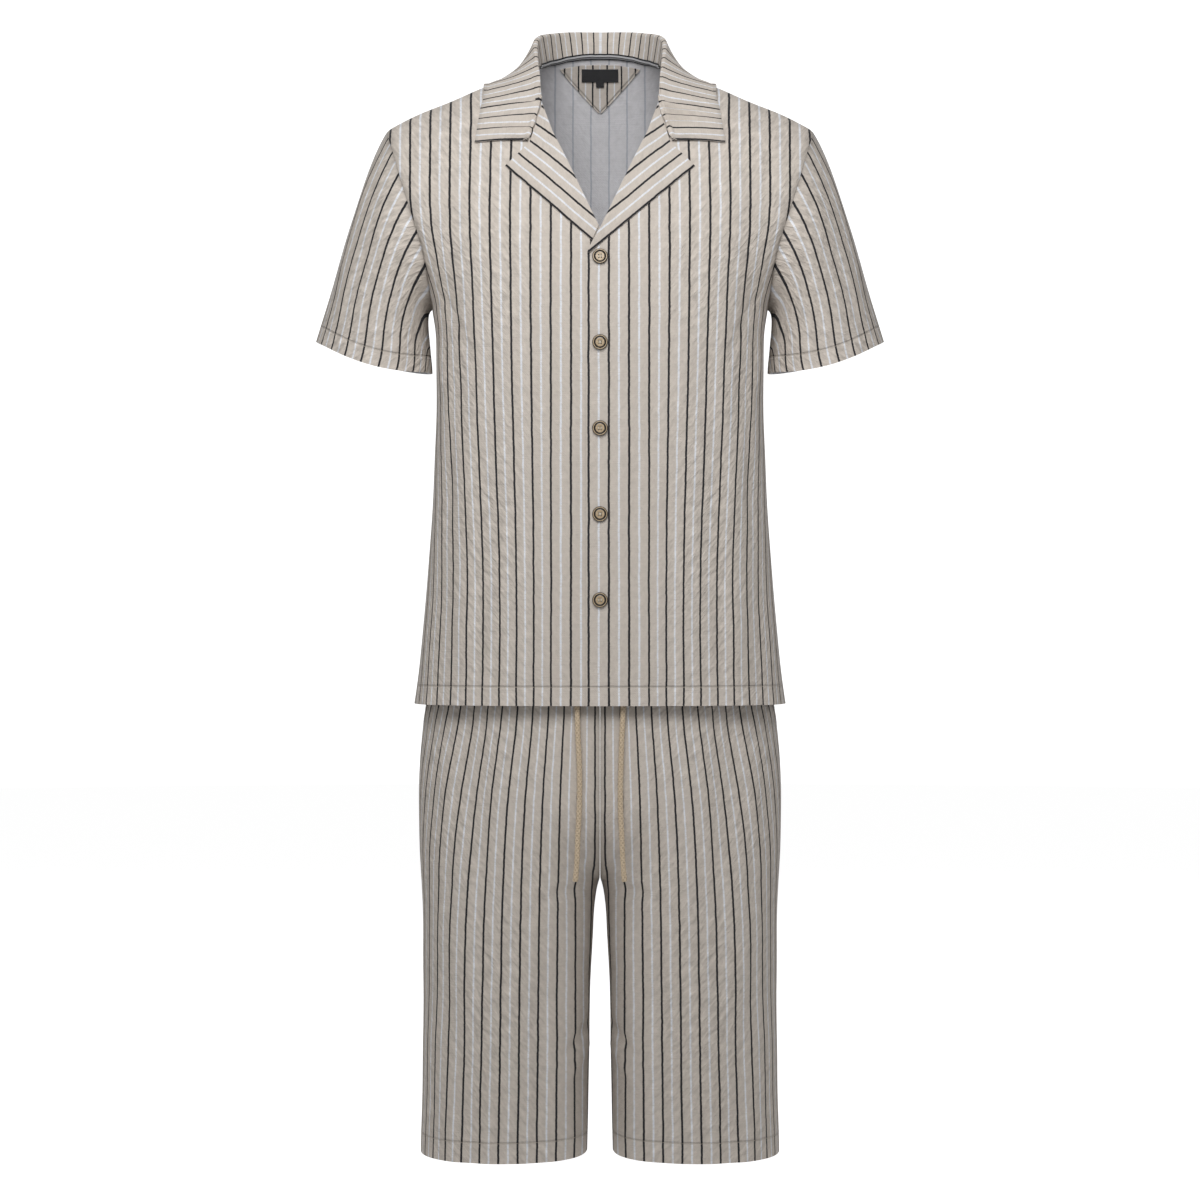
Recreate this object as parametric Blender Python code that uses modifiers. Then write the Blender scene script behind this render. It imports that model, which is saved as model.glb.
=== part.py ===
"""Lounge set: a camp-collar shirt over knee-length drawstring shorts, filled out and hollow.

Metres, +Z up, the front faces -Y and the wearer's left is at +X. The origin lies midway
between the two points where the shoulder seams meet the neck.
"""

import math

import bmesh
import bpy
import numpy as np
from mathutils import Matrix, Vector
from mathutils.bvhtree import BVHTree

# Cloth and seams
WALL = 0.0015
TRIM_WALL = 0.0010
SEAM_GAP = 0.0003
HALF_GAP = SEAM_GAP / 2
DIAGONAL_TIE = 0.999
LAYER_GAP = 0.0004

# Shirt body: the widest level, its corner roundness and the roundness over the shoulder
ARMPIT_Z = -0.262
SHIRT_HEM_Z = -0.6935
BODY_POWER = 3.0
SHOULDER_POWER = 2.4
BELOW_ARMPIT_ROWS = 11
ARMHOLE_STEPS = 11
FRONT_COLUMNS = 13
BACK_COLUMNS = 10
BACK_NECK_ROWS = 6

# z, half width, front depth, back depth
SHIRT_SECTIONS = (
    (-0.700, 0.2045, 0.1215, 0.1185),
    (-0.658, 0.1986, 0.1212, 0.1165),
    (-0.592, 0.1920, 0.1210, 0.1120),
    (-0.526, 0.1865, 0.1208, 0.1085),
    (-0.460, 0.1820, 0.1212, 0.1080),
    (-0.394, 0.1798, 0.1220, 0.1100),
    (-0.333, 0.1790, 0.1225, 0.1140),
    (-0.290, 0.1796, 0.1228, 0.1170),
    (-0.262, 0.1840, 0.1222, 0.1190),
    (-0.200, 0.1840, 0.1180, 0.1230),
    (-0.150, 0.1840, 0.1110, 0.1250),
    (-0.100, 0.1840, 0.1010, 0.1250),
    (-0.050, 0.1840, 0.0860, 0.1220),
    (0.000, 0.1840, 0.0720, 0.1180),
    (0.040, 0.1840, 0.0650, 0.1160),
)

# The shoulder seam's height over x. Inside the neck it is the line that the form would reach.
# x, z
SHOULDER_LINE = (
    (0.0000, 0.0700),
    (0.0200, 0.0660),
    (0.0400, 0.0520),
    (0.0748, 0.0020),
    (0.1000, -0.0085),
    (0.1340, -0.0205),
    (0.1606, -0.0325),
    (0.1960, -0.0465),
    (0.2233, -0.0600),
    (0.2335, -0.0660),
)

# Armhole: an upright oval that leans with the body
ARMHOLE_CENTRE_Z = -0.164
ARMHOLE_HALF_HEIGHT = 0.098
ARMHOLE_HALF_DEPTH = 0.080
# z, x
ARMHOLE_LINE = (
    (-0.2620, 0.1840),
    (-0.2400, 0.1858),
    (-0.2020, 0.1920),
    (-0.1620, 0.2040),
    (-0.1250, 0.2156),
    (-0.0990, 0.2235),
    (-0.0750, 0.2312),
    (-0.0660, 0.2335),
)

# Front opening: the edge on top, the edge underneath, and the roll line up to the neck point
TOP_EDGE = 0.0149
UNDER_EDGE = 0.0200
OVERLAP_LIFT = 0.0021
LIFT_FROM, LIFT_TO = 0.026, 0.052
# x, z
ROLL_LINE = (
    (0.0000, -0.1855),
    (0.0140, -0.1558),
    (0.0303, -0.1208),
    (0.0504, -0.0783),
    (0.0617, -0.0460),
    (0.0700, -0.0200),
    (0.0748, 0.0020),
)
EDGE_CORNER_Z = -0.2135
# x, z
BACK_NECKLINE = (
    (0.0000, 0.0280),
    (0.0200, 0.0272),
    (0.0400, 0.0235),
    (0.0580, 0.0160),
    (0.0700, 0.0075),
    (0.0748, 0.0020),
)

# Largest folds of the shirt, each a soft upright trough
# panel, x at top, z at top, x at bottom, z at bottom, half width, depth
SHIRT_FOLDS = (
    ("front", 0.168, -0.135, 0.150, -0.420, 0.022, 0.0040),
    ("front", 0.118, -0.330, 0.128, -0.700, 0.024, 0.0030),
    ("front", 0.165, -0.430, 0.172, -0.705, 0.020, 0.0035),
    ("front", 0.070, -0.470, 0.078, -0.705, 0.022, 0.0018),
    ("back", 0.150, -0.130, 0.140, -0.450, 0.030, 0.0045),
    ("back", 0.095, -0.330, 0.105, -0.705, 0.030, 0.0040),
    ("back", 0.160, -0.450, 0.165, -0.705, 0.024, 0.0035),
)
FOLD_END = 0.070

# Sleeve
CUFF_CENTRE = (0.2480, -0.3145)
CUFF_HALF_WIDTH = 0.0660
CUFF_HALF_DEPTH = 0.0600
CUFF_TILT = math.radians(15.2)
CUFF_FRONT_DROP = 0.0120
CUFF_BACK_DROP = 0.0040
SLEEVE_RINGS = 9
CAP_ANGLE = math.radians(62)
CAP_PULL, UNDERARM_PULL = 0.080, 0.012

# Collar
COLLAR_WALL = 0.0012
COLLAR_CLEAR = 0.0010
FRONT_STAND = 0.0050
LIFT_PASSES = 8
FALL_BEND = 0.10
STAND_GAP = 0.0020
STAND_INSET = WALL + 0.0009
GORGE_COLUMNS = 6
ROLL_RADIUS_FRONT = 0.0018
ROLL_RADIUS_BACK = 0.0032
COLLAR_COLUMNS = 28
FALL_ROWS, ROLL_ROWS, STAND_ROWS = 4, 4, 1
# Half of the collar, from its front end to the centre back: the roll's crest (y is given only
# where the collar has left the chest), the outer edge (x, z and the side it lies on), and how far
# along the neckline the stand is sewn, from the gorge at 0 to the centre back at 1.
# crest x, y, z, edge x, z, side, neckline share
COLLAR_STATIONS = (
    (0.0776, None, -0.0882, 0.1345, -0.0892, -1, 0.00),
    (0.0704, None, -0.0677, 0.1318, -0.0685, -1, 0.00),
    (0.0634, None, -0.0445, 0.1295, -0.0510, -1, 0.00),
    (0.0640, -0.0440, -0.0200, 0.1262, -0.0350, -1, 0.20),
    (0.0683, -0.0190, 0.0110, 0.1240, -0.0200, 0, 0.38),
    (0.0695, 0.0120, 0.0390, 0.1040, -0.0220, 1, 0.56),
    (0.0460, 0.0510, 0.0520, 0.0600, -0.0170, 1, 0.78),
    (0.0000, 0.0700, 0.0560, 0.0000, -0.0120, 1, 1.00),
)

# Lapel corners on the chest: gorge end, notch tip, and where its outer edge ends
# x, z
GORGE_END = (0.0755, -0.0888)
LAPEL_TIP = (0.1015, -0.1160)
UNDER_LAPEL_END = (0.0085, -0.1985)
TOP_LAPEL_END = (-0.0122, -0.2128)
LAPEL_ROWS, LAPEL_COLUMNS = 4, 9
LAPEL_CLEAR = 0.0005

# Pieces inside the back neck
TAPE_HALF_HEIGHT = 0.0042
TAPE_FROM_Y = 0.012
TAPE_CLEAR = 0.0016
INSIDE_CLEAR = 0.0010
LABEL_CLEAR = 0.0006
FACING_BELOW_TAPE = 0.0028
FACING_HALF_WIDTH = 0.0465
FACING_POINT_Z = -0.0300
FACING_POINT_SHARE = 0.96
LABEL_HALF_WIDTH = 0.0214
LABEL_TOP_Z, LABEL_BOTTOM_Z = 0.0168, 0.0033
TAB_HALF_WIDTH, TAB_BOTTOM_Z = 0.0046, -0.0023

# Buttons
BUTTON_RADIUS = 0.00825
BUTTON_THICKNESS = 0.0030
BUTTON_RIM = 0.0022
BUTTON_DISH = 0.0008
BUTTON_HOLE_RADIUS = 0.0009
BUTTON_HOLE_SPREAD = 0.0019
BUTTON_FIRST_Z = -0.2160
BUTTON_SPACING = 0.0912
BUTTON_COUNT = 5

# Shorts
SHORTS_TOP_Z = -0.636
SHORTS_HEM_Z = -1.184
RISE_TURN_Z = -0.790
RISE_REACH = 0.45
LEG_FROM_Z, LEG_TO_Z = -0.780, -0.990
CROTCH_Z = -0.886
PELVIS_POWER = 2.6
LEG_POWER = 2.3
SHORTS_COLUMNS = 11
RISE_ANGLES = (0.0, 24.0, 46.0, 68.0, 90.0)
# z, half width, front depth, back depth
SHORTS_SECTIONS = (
    (-0.590, 0.1650, 0.0940, 0.1000),
    (-0.636, 0.1720, 0.0985, 0.1040),
    (-0.660, 0.1810, 0.1025, 0.1080),
    (-0.700, 0.1915, 0.1070, 0.1160),
    (-0.740, 0.1965, 0.1110, 0.1220),
    (-0.780, 0.1985, 0.1140, 0.1260),
    (-0.840, 0.1980, 0.1160, 0.1270),
    (-0.886, 0.1958, 0.1130, 0.1210),
    (-0.930, 0.1945, 0.1080, 0.1130),
    (-1.000, 0.1940, 0.1040, 0.1080),
    (-1.100, 0.1950, 0.1010, 0.1040),
    (-1.190, 0.1962, 0.0990, 0.1010),
)
# z, x of the inside leg
INSIDE_LEG = (
    (-1.190, 0.0140),
    (-1.087, 0.0120),
    (-1.000, 0.0105),
    (-0.955, 0.0083),
    (-0.911, 0.0058),
    (-0.895, 0.0030),
    (-0.886, 0.0004),
)
SHORTS_ROWS_ABOVE = (-0.636, -0.662, -0.698, -0.740)
SHORTS_ROWS_BELOW = (-0.897, -0.915, -0.950, -1.000, -1.055, -1.110, -1.150, -1.184)
# panel, x at top, z at top, x at bottom, z at bottom, half width, depth
SHORTS_FOLDS = (
    ("front", 0.062, -0.690, 0.070, -0.900, 0.022, 0.0030),
    ("front", 0.135, -0.700, 0.125, -1.000, 0.026, 0.0035),
    ("front", 0.060, -0.960, 0.066, -1.184, 0.024, 0.0030),
    ("front", 0.145, -1.020, 0.140, -1.184, 0.022, 0.0030),
    ("back", 0.070, -0.700, 0.080, -0.930, 0.026, 0.0035),
    ("back", 0.140, -0.760, 0.130, -1.050, 0.028, 0.0035),
    ("back", 0.075, -0.980, 0.080, -1.184, 0.026, 0.0035),
)

# Waistband and drawstring
BAND_TOP_Z = -0.594
BAND_COLUMNS = 36
EYELET_X, EYELET_Z = 0.0245, -0.615
EYELET_RADIUS, EYELET_HOLE, EYELET_THICKNESS = 0.0065, 0.0038, 0.0012
EYELET_CLEAR = 0.0012
CORD_RADIUS = 0.0030
CORD_TURN = 0.0120
CORD_STRAIGHT = 0.0024
CORD_START_GAP = 0.0012
CORD_TURN_POINTS = 6
CORD_POINTS = 16
# The hanging stretch of each cord, chosen by eye
# x, y, z
CORD_ROUTES = {
    "left": (
        (0.0246, -0.1112, -0.6420),
        (0.0247, -0.1112, -0.6700),
        (0.0246, -0.1122, -0.6999),
        (0.0233, -0.1146, -0.7244),
        (0.0224, -0.1164, -0.7520),
        (0.0217, -0.1188, -0.7850),
        (0.0221, -0.1199, -0.8120),
        (0.0233, -0.1201, -0.8361),
        (0.0241, -0.1201, -0.8574),
        (0.0260, -0.1199, -0.8800),
    ),
    "right": (
        (0.0245, -0.1112, -0.6420),
        (0.0245, -0.1112, -0.6700),
        (0.0243, -0.1122, -0.6999),
        (0.0235, -0.1146, -0.7244),
        (0.0222, -0.1164, -0.7510),
        (0.0219, -0.1191, -0.7935),
        (0.0226, -0.1199, -0.8150),
        (0.0237, -0.1201, -0.8361),
        (0.0244, -0.1201, -0.8574),
        (0.0263, -0.1199, -0.8800),
    ),
}

# name: colour, roughness, metallic
FINISHES = {
    "striped_cloth": ((0.60, 0.55, 0.49, 1.0), 0.85, 0.0),
    "neck_tape": ((0.02, 0.02, 0.025, 1.0), 0.70, 0.0),
    "woven_label": ((0.01, 0.01, 0.01, 1.0), 0.60, 0.0),
    "button_horn": ((0.30, 0.22, 0.13, 1.0), 0.35, 0.0),
    "drawstring_cotton": ((0.69, 0.56, 0.42, 1.0), 0.90, 0.0),
    "eyelet_metal": ((0.30, 0.28, 0.25, 1.0), 0.35, 1.0),
}


def column(table, index):
    return np.array([row[index] for row in table], dtype=float)


def smooth_step(start, end, value):
    share = np.clip((value - start) / (end - start), 0.0, 1.0)
    return share * share * (3.0 - 2.0 * share)


def smooth_value(at, knots, values):
    """A value read from a table along cubic pieces."""
    at = np.clip(at, knots[0], knots[-1])
    slopes = np.gradient(values, knots)
    piece = np.clip(np.searchsorted(knots, at, side="right") - 1, 0, len(knots) - 2)
    width = knots[piece + 1] - knots[piece]
    t = (at - knots[piece]) / width
    return (
        values[piece] * (2 * t**3 - 3 * t**2 + 1)
        + values[piece + 1] * (3 * t**2 - 2 * t**3)
        + slopes[piece] * width * (t**3 - 2 * t**2 + t)
        + slopes[piece + 1] * width * (t**3 - t**2)
    )


def read_table(table, at, index):
    rows = sorted(table)
    return smooth_value(at, column(rows, 0), column(rows, index))


def unit(vectors):
    vectors = np.asarray(vectors, dtype=float)
    length = np.linalg.norm(vectors, axis=-1, keepdims=True)
    return vectors / np.maximum(length, 1e-12)


def spaced_along(points, shares):
    """Points at the given shares of a line's length."""
    steps = np.linalg.norm(np.diff(points, axis=0), axis=1)
    travelled = np.concatenate([[0.0], np.cumsum(steps)])
    at = np.asarray(shares) * travelled[-1]
    return np.stack([np.interp(at, travelled, points[:, k]) for k in range(3)], axis=1)


def folds_at(folds, hem_z, panel, x, z):
    """How far the cloth sinks in the panel's folds. A fold that ends above the hem runs out."""
    sunk = np.zeros(np.broadcast(x, z).shape)
    for where, x_top, z_top, x_bottom, z_bottom, half_width, depth in folds:
        if where != panel:
            continue
        down = np.clip((z_top - z) / (z_top - z_bottom), 0.0, 1.0)
        across = (np.abs(x) - (x_top + (x_bottom - x_top) * down)) / half_width
        ends = smooth_step(z_top + FOLD_END / 2, z_top - FOLD_END / 2, z)
        if z_bottom > hem_z:
            ends = ends * smooth_step(z_bottom - FOLD_END / 2, z_bottom + FOLD_END / 2, z)
        sunk += depth * ends * np.cos(np.clip(across, -1.0, 1.0) * math.pi / 2) ** 2
    return sunk


# Body form


def shoulder_height(x):
    return read_table(SHOULDER_LINE, np.abs(x), 1)


def armhole_point(angle):
    """A point of the armhole, from the shoulder at 0 to the armpit at pi; y is its depth."""
    z = ARMHOLE_CENTRE_Z + ARMHOLE_HALF_HEIGHT * np.cos(angle)
    y = ARMHOLE_HALF_DEPTH * np.sin(angle)
    return read_table(ARMHOLE_LINE, z, 1), y, z


def rise_share(x, z):
    """How far a point has risen from the armpit's level to the shoulder seam, 0 to 1."""
    return np.clip((z - ARMPIT_Z) / (shoulder_height(x) - ARMPIT_Z), 0.0, 1.0)


def shoulder_round(share):
    return (1.0 - np.clip(share, 0.0, 1.0) ** SHOULDER_POWER) ** (1.0 / SHOULDER_POWER)


def side_index(side):
    return 2 if side < 0 else 3


def upper_half_widths(side):
    """The form's half width over the rise share, chosen so that it passes through the armhole."""
    x, y, z = armhole_point(np.linspace(math.pi, 0.0, 181))
    share = rise_share(x, z)
    depth = read_table(SHIRT_SECTIONS, z, side_index(side)) * shoulder_round(share)
    reach = np.clip(y / np.maximum(depth, 1e-6), 0.0, 0.97)
    return share, x / (1.0 - reach**BODY_POWER) ** (1.0 / BODY_POWER)


HALF_WIDTHS = {side: upper_half_widths(side) for side in (-1, 1)}


def form_half_width(x, z, side):
    share = rise_share(x, z)
    upper = np.interp(share, *HALF_WIDTHS[side])
    return np.where(share > 0.0, upper, read_table(SHIRT_SECTIONS, z, 1))


def form_depth(x, z, side):
    """The shirt's depth from the side seams' plane, at the front (side -1) or the back (side 1)."""
    half_width = form_half_width(x, z, side)
    inside = np.clip(1.0 - (np.abs(x) / half_width) ** BODY_POWER, 0.0, 1.0)
    depth = read_table(SHIRT_SECTIONS, z, side_index(side)) * inside ** (1.0 / BODY_POWER)
    return depth * shoulder_round(rise_share(x, z))


def cloth_depth(x, z, side, lift=0.0):
    """The form's depth with the folds and, on the overlap, its lift."""
    panel = "front" if side < 0 else "back"
    depth = form_depth(x, z, side)
    sunk = folds_at(SHIRT_FOLDS, SHIRT_HEM_Z, panel, x, z)
    lifted = lift * (1.0 - smooth_step(LIFT_FROM, LIFT_TO, x)) * smooth_step(-0.135, -0.175, z)
    return np.maximum(depth - sunk, 0.0) + lifted


def on_cloth(x, z, side, out, lift=0.0):
    """A point moved out along the cloth's normal; x is measured towards the panel's own side."""
    x, z = np.broadcast_arrays(np.asarray(x, dtype=float), np.asarray(z, dtype=float))
    nudge = 0.0005
    depth = cloth_depth(x, z, side, lift)
    slope_x = (cloth_depth(x + nudge, z, side, lift) - cloth_depth(x - nudge, z, side, lift)) / (2 * nudge)
    slope_z = (cloth_depth(x, z + nudge, side, lift) - cloth_depth(x, z - nudge, side, lift)) / (2 * nudge)
    slope_x = np.clip(slope_x, -4.0, 4.0)
    slope_z = np.clip(slope_z, -4.0, 4.0)
    normal = unit(np.stack([-slope_x, side * np.ones_like(x), -slope_z], axis=-1))
    return np.stack([x, side * depth, z], axis=-1) + normal * np.asarray(out)[..., None]


# Meshes


def grid_faces(rows, columns, wrap=False):
    faces = []
    for r in range(rows - 1):
        for c in range(columns if wrap else columns - 1):
            near = r * columns + c
            far = r * columns + (c + 1) % columns
            faces.append((near, far, far + columns, near + columns))
    return np.array(faces)


def vertex_normals(points, faces):
    corners = points[faces]
    turned = np.cross(corners[:, 2] - corners[:, 0], corners[:, 3] - corners[:, 1])
    normals = np.zeros_like(points)
    for k in range(4):
        np.add.at(normals, faces[:, k], turned)
    return unit(normals)


def flipped(faces):
    """The same quads looking the other way, with the same diagonals."""
    return faces[:, [0, 3, 2, 1]]


def halved(points, faces):
    """Each quad as two triangles, cut along its shorter diagonal."""
    first = np.linalg.norm(points[faces[:, 0]] - points[faces[:, 2]], axis=1)
    second = np.linalg.norm(points[faces[:, 1]] - points[faces[:, 3]], axis=1)
    turned = second < first * DIAGONAL_TIE
    one = np.where(turned[:, None], faces[:, [0, 1, 3]], faces[:, [0, 1, 2]])
    two = np.where(turned[:, None], faces[:, [1, 2, 3]], faces[:, [0, 2, 3]])
    return np.concatenate([one, two])


def facing_out(points, faces, inside):
    """The faces, turned where needed so that they look away from a point inside."""
    normals = vertex_normals(points, faces)
    looks = np.sum(normals * (points - np.asarray(inside)))
    return faces if looks > 0 else flipped(faces)


def material(name):
    made = bpy.data.materials.get(name)
    if made is None:
        colour, roughness, metallic = FINISHES[name]
        made = bpy.data.materials.new(name)
        made.use_nodes = True
        shader = made.node_tree.nodes["Principled BSDF"]
        shader.inputs["Base Color"].default_value = colour
        shader.inputs["Roughness"].default_value = roughness
        shader.inputs["Metallic"].default_value = metallic
    return made


def place(obj, finish):
    obj.data.materials.clear()
    obj.data.materials.append(material(finish))
    if obj.type == "MESH":
        obj.data.shade_smooth()
        obj.data.set_sharp_from_angle(angle=math.radians(50))
    bpy.data.collections["lounge_set"].objects.link(obj)
    return obj


def wall_piece(name, points, faces, normals, thickness, finish):
    """A closed wall: the outer points, the same points moved in, and a rim along each open edge.

    Returns a search tree over its outer face and one over its inner face.
    """
    count = len(points)
    inner = points - normals * thickness
    edges = {}
    for face in faces:
        for k in range(len(face)):
            edges[(face[k], face[(k + 1) % len(face)])] = True
    rim = [(b, a, a + count, b + count) for a, b in edges if (b, a) not in edges]
    halves = halved(points, faces)
    every = halves.tolist() + (halves[:, ::-1] + count).tolist() + rim
    mesh = bpy.data.meshes.new(name)
    mesh.from_pydata(np.concatenate([points, inner]).tolist(), [], [[int(i) for i in f] for f in every])
    mesh.validate()
    place(bpy.data.objects.new(name, mesh), finish)
    outside = BVHTree.FromPolygons(points.tolist(), halves.tolist())
    inside = BVHTree.FromPolygons(inner.tolist(), halves[:, ::-1].tolist())
    return outside, inside


def at_height(points, tree, height):
    """The points moved so that they lie the given height above a surface."""
    moved = points.copy()
    for at in np.ndindex(points.shape[:-1]):
        place_on, normal, _, _ = tree.find_nearest(Vector(points[at]))
        moved[at] += np.array(normal) * (height - (Vector(points[at]) - place_on).dot(normal))
    return moved


def mirrored(points):
    return points * np.array([-1.0, 1.0, 1.0])


# Shirt panels


def armhole_angles(side):
    """Angles of the rows that end on the armhole: even round it, then through the neck's corner.

    The back's rows above that corner are spaced evenly along its neckline.
    """
    angles = np.linspace(math.pi, 0.0, ARMHOLE_STEPS + 1)
    dense = np.linspace(math.pi, 0.0, 721)
    x, _, z = armhole_point(dense)
    shares = rise_share(x, z)
    if side < 0:
        angles = np.insert(angles, ARMHOLE_STEPS, angles[-2] / 2)
        wanted = np.interp(rise_share(TOP_EDGE, EDGE_CORNER_Z), shares, dense)
        nearest = 1 + np.argmin(np.abs(angles[1:-1] - wanted))
        angles[nearest] = wanted
        return angles
    neck_shares, neck_x = neckline(1, 0.0)
    neck_z = ARMPIT_Z + (shoulder_height(neck_x) - ARMPIT_Z) * neck_shares
    line = np.stack([neck_x, form_depth(neck_x, neck_z, 1), neck_z], axis=1)
    even = spaced_along(line, np.linspace(0.0, 1.0, BACK_NECK_ROWS + 1))
    neck_angles = np.interp(rise_share(even[:, 0], even[:, 2]), shares, dense)
    neck_angles[-1] = 0.0
    below = angles[angles > neck_angles[0] + 0.4 * (angles[0] - angles[1])]
    return np.concatenate([below, neck_angles])


def neckline(side, edge):
    """The inner edge of a half panel above the armpit: rise shares and x."""
    if side > 0:
        line = np.array(BACK_NECKLINE)
    else:
        corner = (-edge, EDGE_CORNER_Z - (edge - TOP_EDGE) * 1.9)
        line = np.array((corner,) + ROLL_LINE)
    fine = np.linspace(0, len(line) - 1, 400)
    x = np.interp(fine, np.arange(len(line)), line[:, 0])
    z = np.interp(fine, np.arange(len(line)), line[:, 1])
    return rise_share(x, z), x


def half_panel(side, edge, columns, lift=0.0):
    """Rows of a half front (side -1) or half back (side 1) at +X, hem first, inner edge first."""
    angles = armhole_angles(side)
    neck_shares, neck_x = neckline(side, edge)
    spread = 1.0 - (1.0 - np.linspace(0.0, 1.0, 260)) ** 3
    rows = []
    for z_level in np.linspace(SHIRT_HEM_Z, ARMPIT_Z, BELOW_ARMPIT_ROWS + 1)[:-1]:
        half_width = float(read_table(SHIRT_SECTIONS, z_level, 1))
        x = -edge + (half_width + edge) * spread
        rows.append((x, np.full_like(x, z_level)))
    for angle in angles:
        x_out, _, z_out = armhole_point(angle)
        share = float(rise_share(x_out, z_out))
        x_in = -edge if share < neck_shares[0] else float(np.interp(share, neck_shares, neck_x))
        x = x_in + (float(x_out) - x_in) * spread
        rows.append((x, ARMPIT_Z + (shoulder_height(x) - ARMPIT_Z) * share))
    grid = []
    for x, z in rows:
        line = np.stack([x, side * cloth_depth(x, z, side, lift), z], axis=1)
        grid.append(spaced_along(line, np.linspace(0.0, 1.0, columns + 1)))
    grid = np.array(grid)
    arm = BELOW_ARMPIT_ROWS
    x, y, z = armhole_point(angles)
    grid[arm:, -1] = np.stack([x, side * np.maximum(y, HALF_GAP), z], axis=1)
    grid[: arm + 1, -1, 1] = side * HALF_GAP
    grid[-1, :, 1] = side * HALF_GAP
    grid[-1, :, 2] = shoulder_height(grid[-1, :, 0])
    return grid


def level_normals(normals, chosen, axis):
    """Normals along a seam, kept in the seam's own plane so that both rims are parallel."""
    normals[chosen, axis] = 0.0
    normals[chosen] = unit(normals[chosen])


def panel_surface(grid):
    points = grid.reshape(-1, 3)
    faces = facing_out(points, grid_faces(*grid.shape[:2]), (0.0, 0.0, points[:, 2].mean()))
    return points, faces


def shirt_half(side, grid):
    """A half panel's points, faces and normals, with the side and shoulder seams squared."""
    points, faces = panel_surface(grid)
    normals = vertex_normals(points, faces)
    rows, columns = grid.shape[:2]
    index = np.arange(rows * columns).reshape(rows, columns)
    level_normals(normals, index[: BELOW_ARMPIT_ROWS + 1, -1], 1)
    level_normals(normals, index[-1, :], 1)
    return points, faces, normals, index


# Sleeve


def sleeve_line(angle, side, count):
    """Points from the armhole to the cuff at one angle."""
    x, y, z = armhole_point(angle)
    start = np.array([float(x), side * float(y), float(z)])
    low = (1.0 - math.cos(angle)) / 2.0
    along = np.array([math.cos(CUFF_TILT), 0.0, math.sin(CUFF_TILT)])
    drop = CUFF_FRONT_DROP if side < 0 else CUFF_BACK_DROP
    end = np.array([CUFF_CENTRE[0], 0.0, CUFF_CENTRE[1]]) + along * CUFF_HALF_WIDTH * math.cos(angle)
    end += np.array([0.0, side * CUFF_HALF_DEPTH * math.sin(angle), -drop * math.sin(angle) ** 2])
    slant = CAP_ANGLE * (1.0 - low**3)
    leave = np.array([math.cos(slant), side * 0.12 * math.sin(angle), -math.sin(slant)])
    pull = UNDERARM_PULL + (CAP_PULL - UNDERARM_PULL) * (1.0 - low)
    lean = math.radians(18.0) * (1.0 - low)
    arrive = np.array([math.sin(lean), 0.0, -math.cos(lean)])
    reach = 0.36 * np.linalg.norm(end - start)
    t = np.linspace(0.0, 1.0, 60)[:, None]
    first, last = start + leave * pull, end - arrive * reach
    line = (
        start * (1 - t) ** 3
        + 3 * first * t * (1 - t) ** 2
        + 3 * last * t**2 * (1 - t)
        + end * t**3
    )
    return spaced_along(line, np.linspace(0.0, 1.0, count + 1))


def sleeve_grid():
    """Rings from the armhole to the cuff; columns run from the armpit over the front to the back."""
    front, back = armhole_angles(-1), armhole_angles(1)
    lines = [sleeve_line(a, -1, SLEEVE_RINGS) for a in front]
    lines += [sleeve_line(a, 1, SLEEVE_RINGS) for a in back[-2:0:-1]]
    return np.stack(lines, axis=1)


def armhole_seam(front, back, sleeve):
    """Shared normals along the armhole seam and the way that the sleeve's edge steps off it."""
    ring = sleeve["points"].reshape(sleeve["shape"])[0]
    own = sleeve["normals"].reshape(sleeve["shape"])[0]
    front_normals = front[2][front[3][BELOW_ARMPIT_ROWS:, -1]]
    back_normals = back[2][back[3][BELOW_ARMPIT_ROWS:, -1]]
    body = np.concatenate([front_normals, back_normals[-2:0:-1]])
    ends = [0, len(front_normals) - 1]
    along = np.roll(ring, -1, axis=0) - np.roll(ring, 1, axis=0)
    along = unit(along)
    shared = unit(body) + unit(own)
    shared[ends, 1] = 0.0
    shared -= along * np.sum(shared * along, axis=1, keepdims=True)
    shared = unit(shared)
    step = unit(np.cross(along, shared))
    second = sleeve["points"].reshape(sleeve["shape"])[1]
    toward = np.sum(step * (second - ring), axis=1)
    step *= np.where(toward < 0, -1.0, 1.0)[:, None]
    return shared, step


def joined_tree(surfaces):
    """One search tree over several open surfaces of quads."""
    points, faces = [], []
    for more, more_faces in surfaces:
        faces += (halved(more, more_faces) + len(points)).tolist()
        points += more.tolist()
    return BVHTree.FromPolygons(points, faces)


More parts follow.
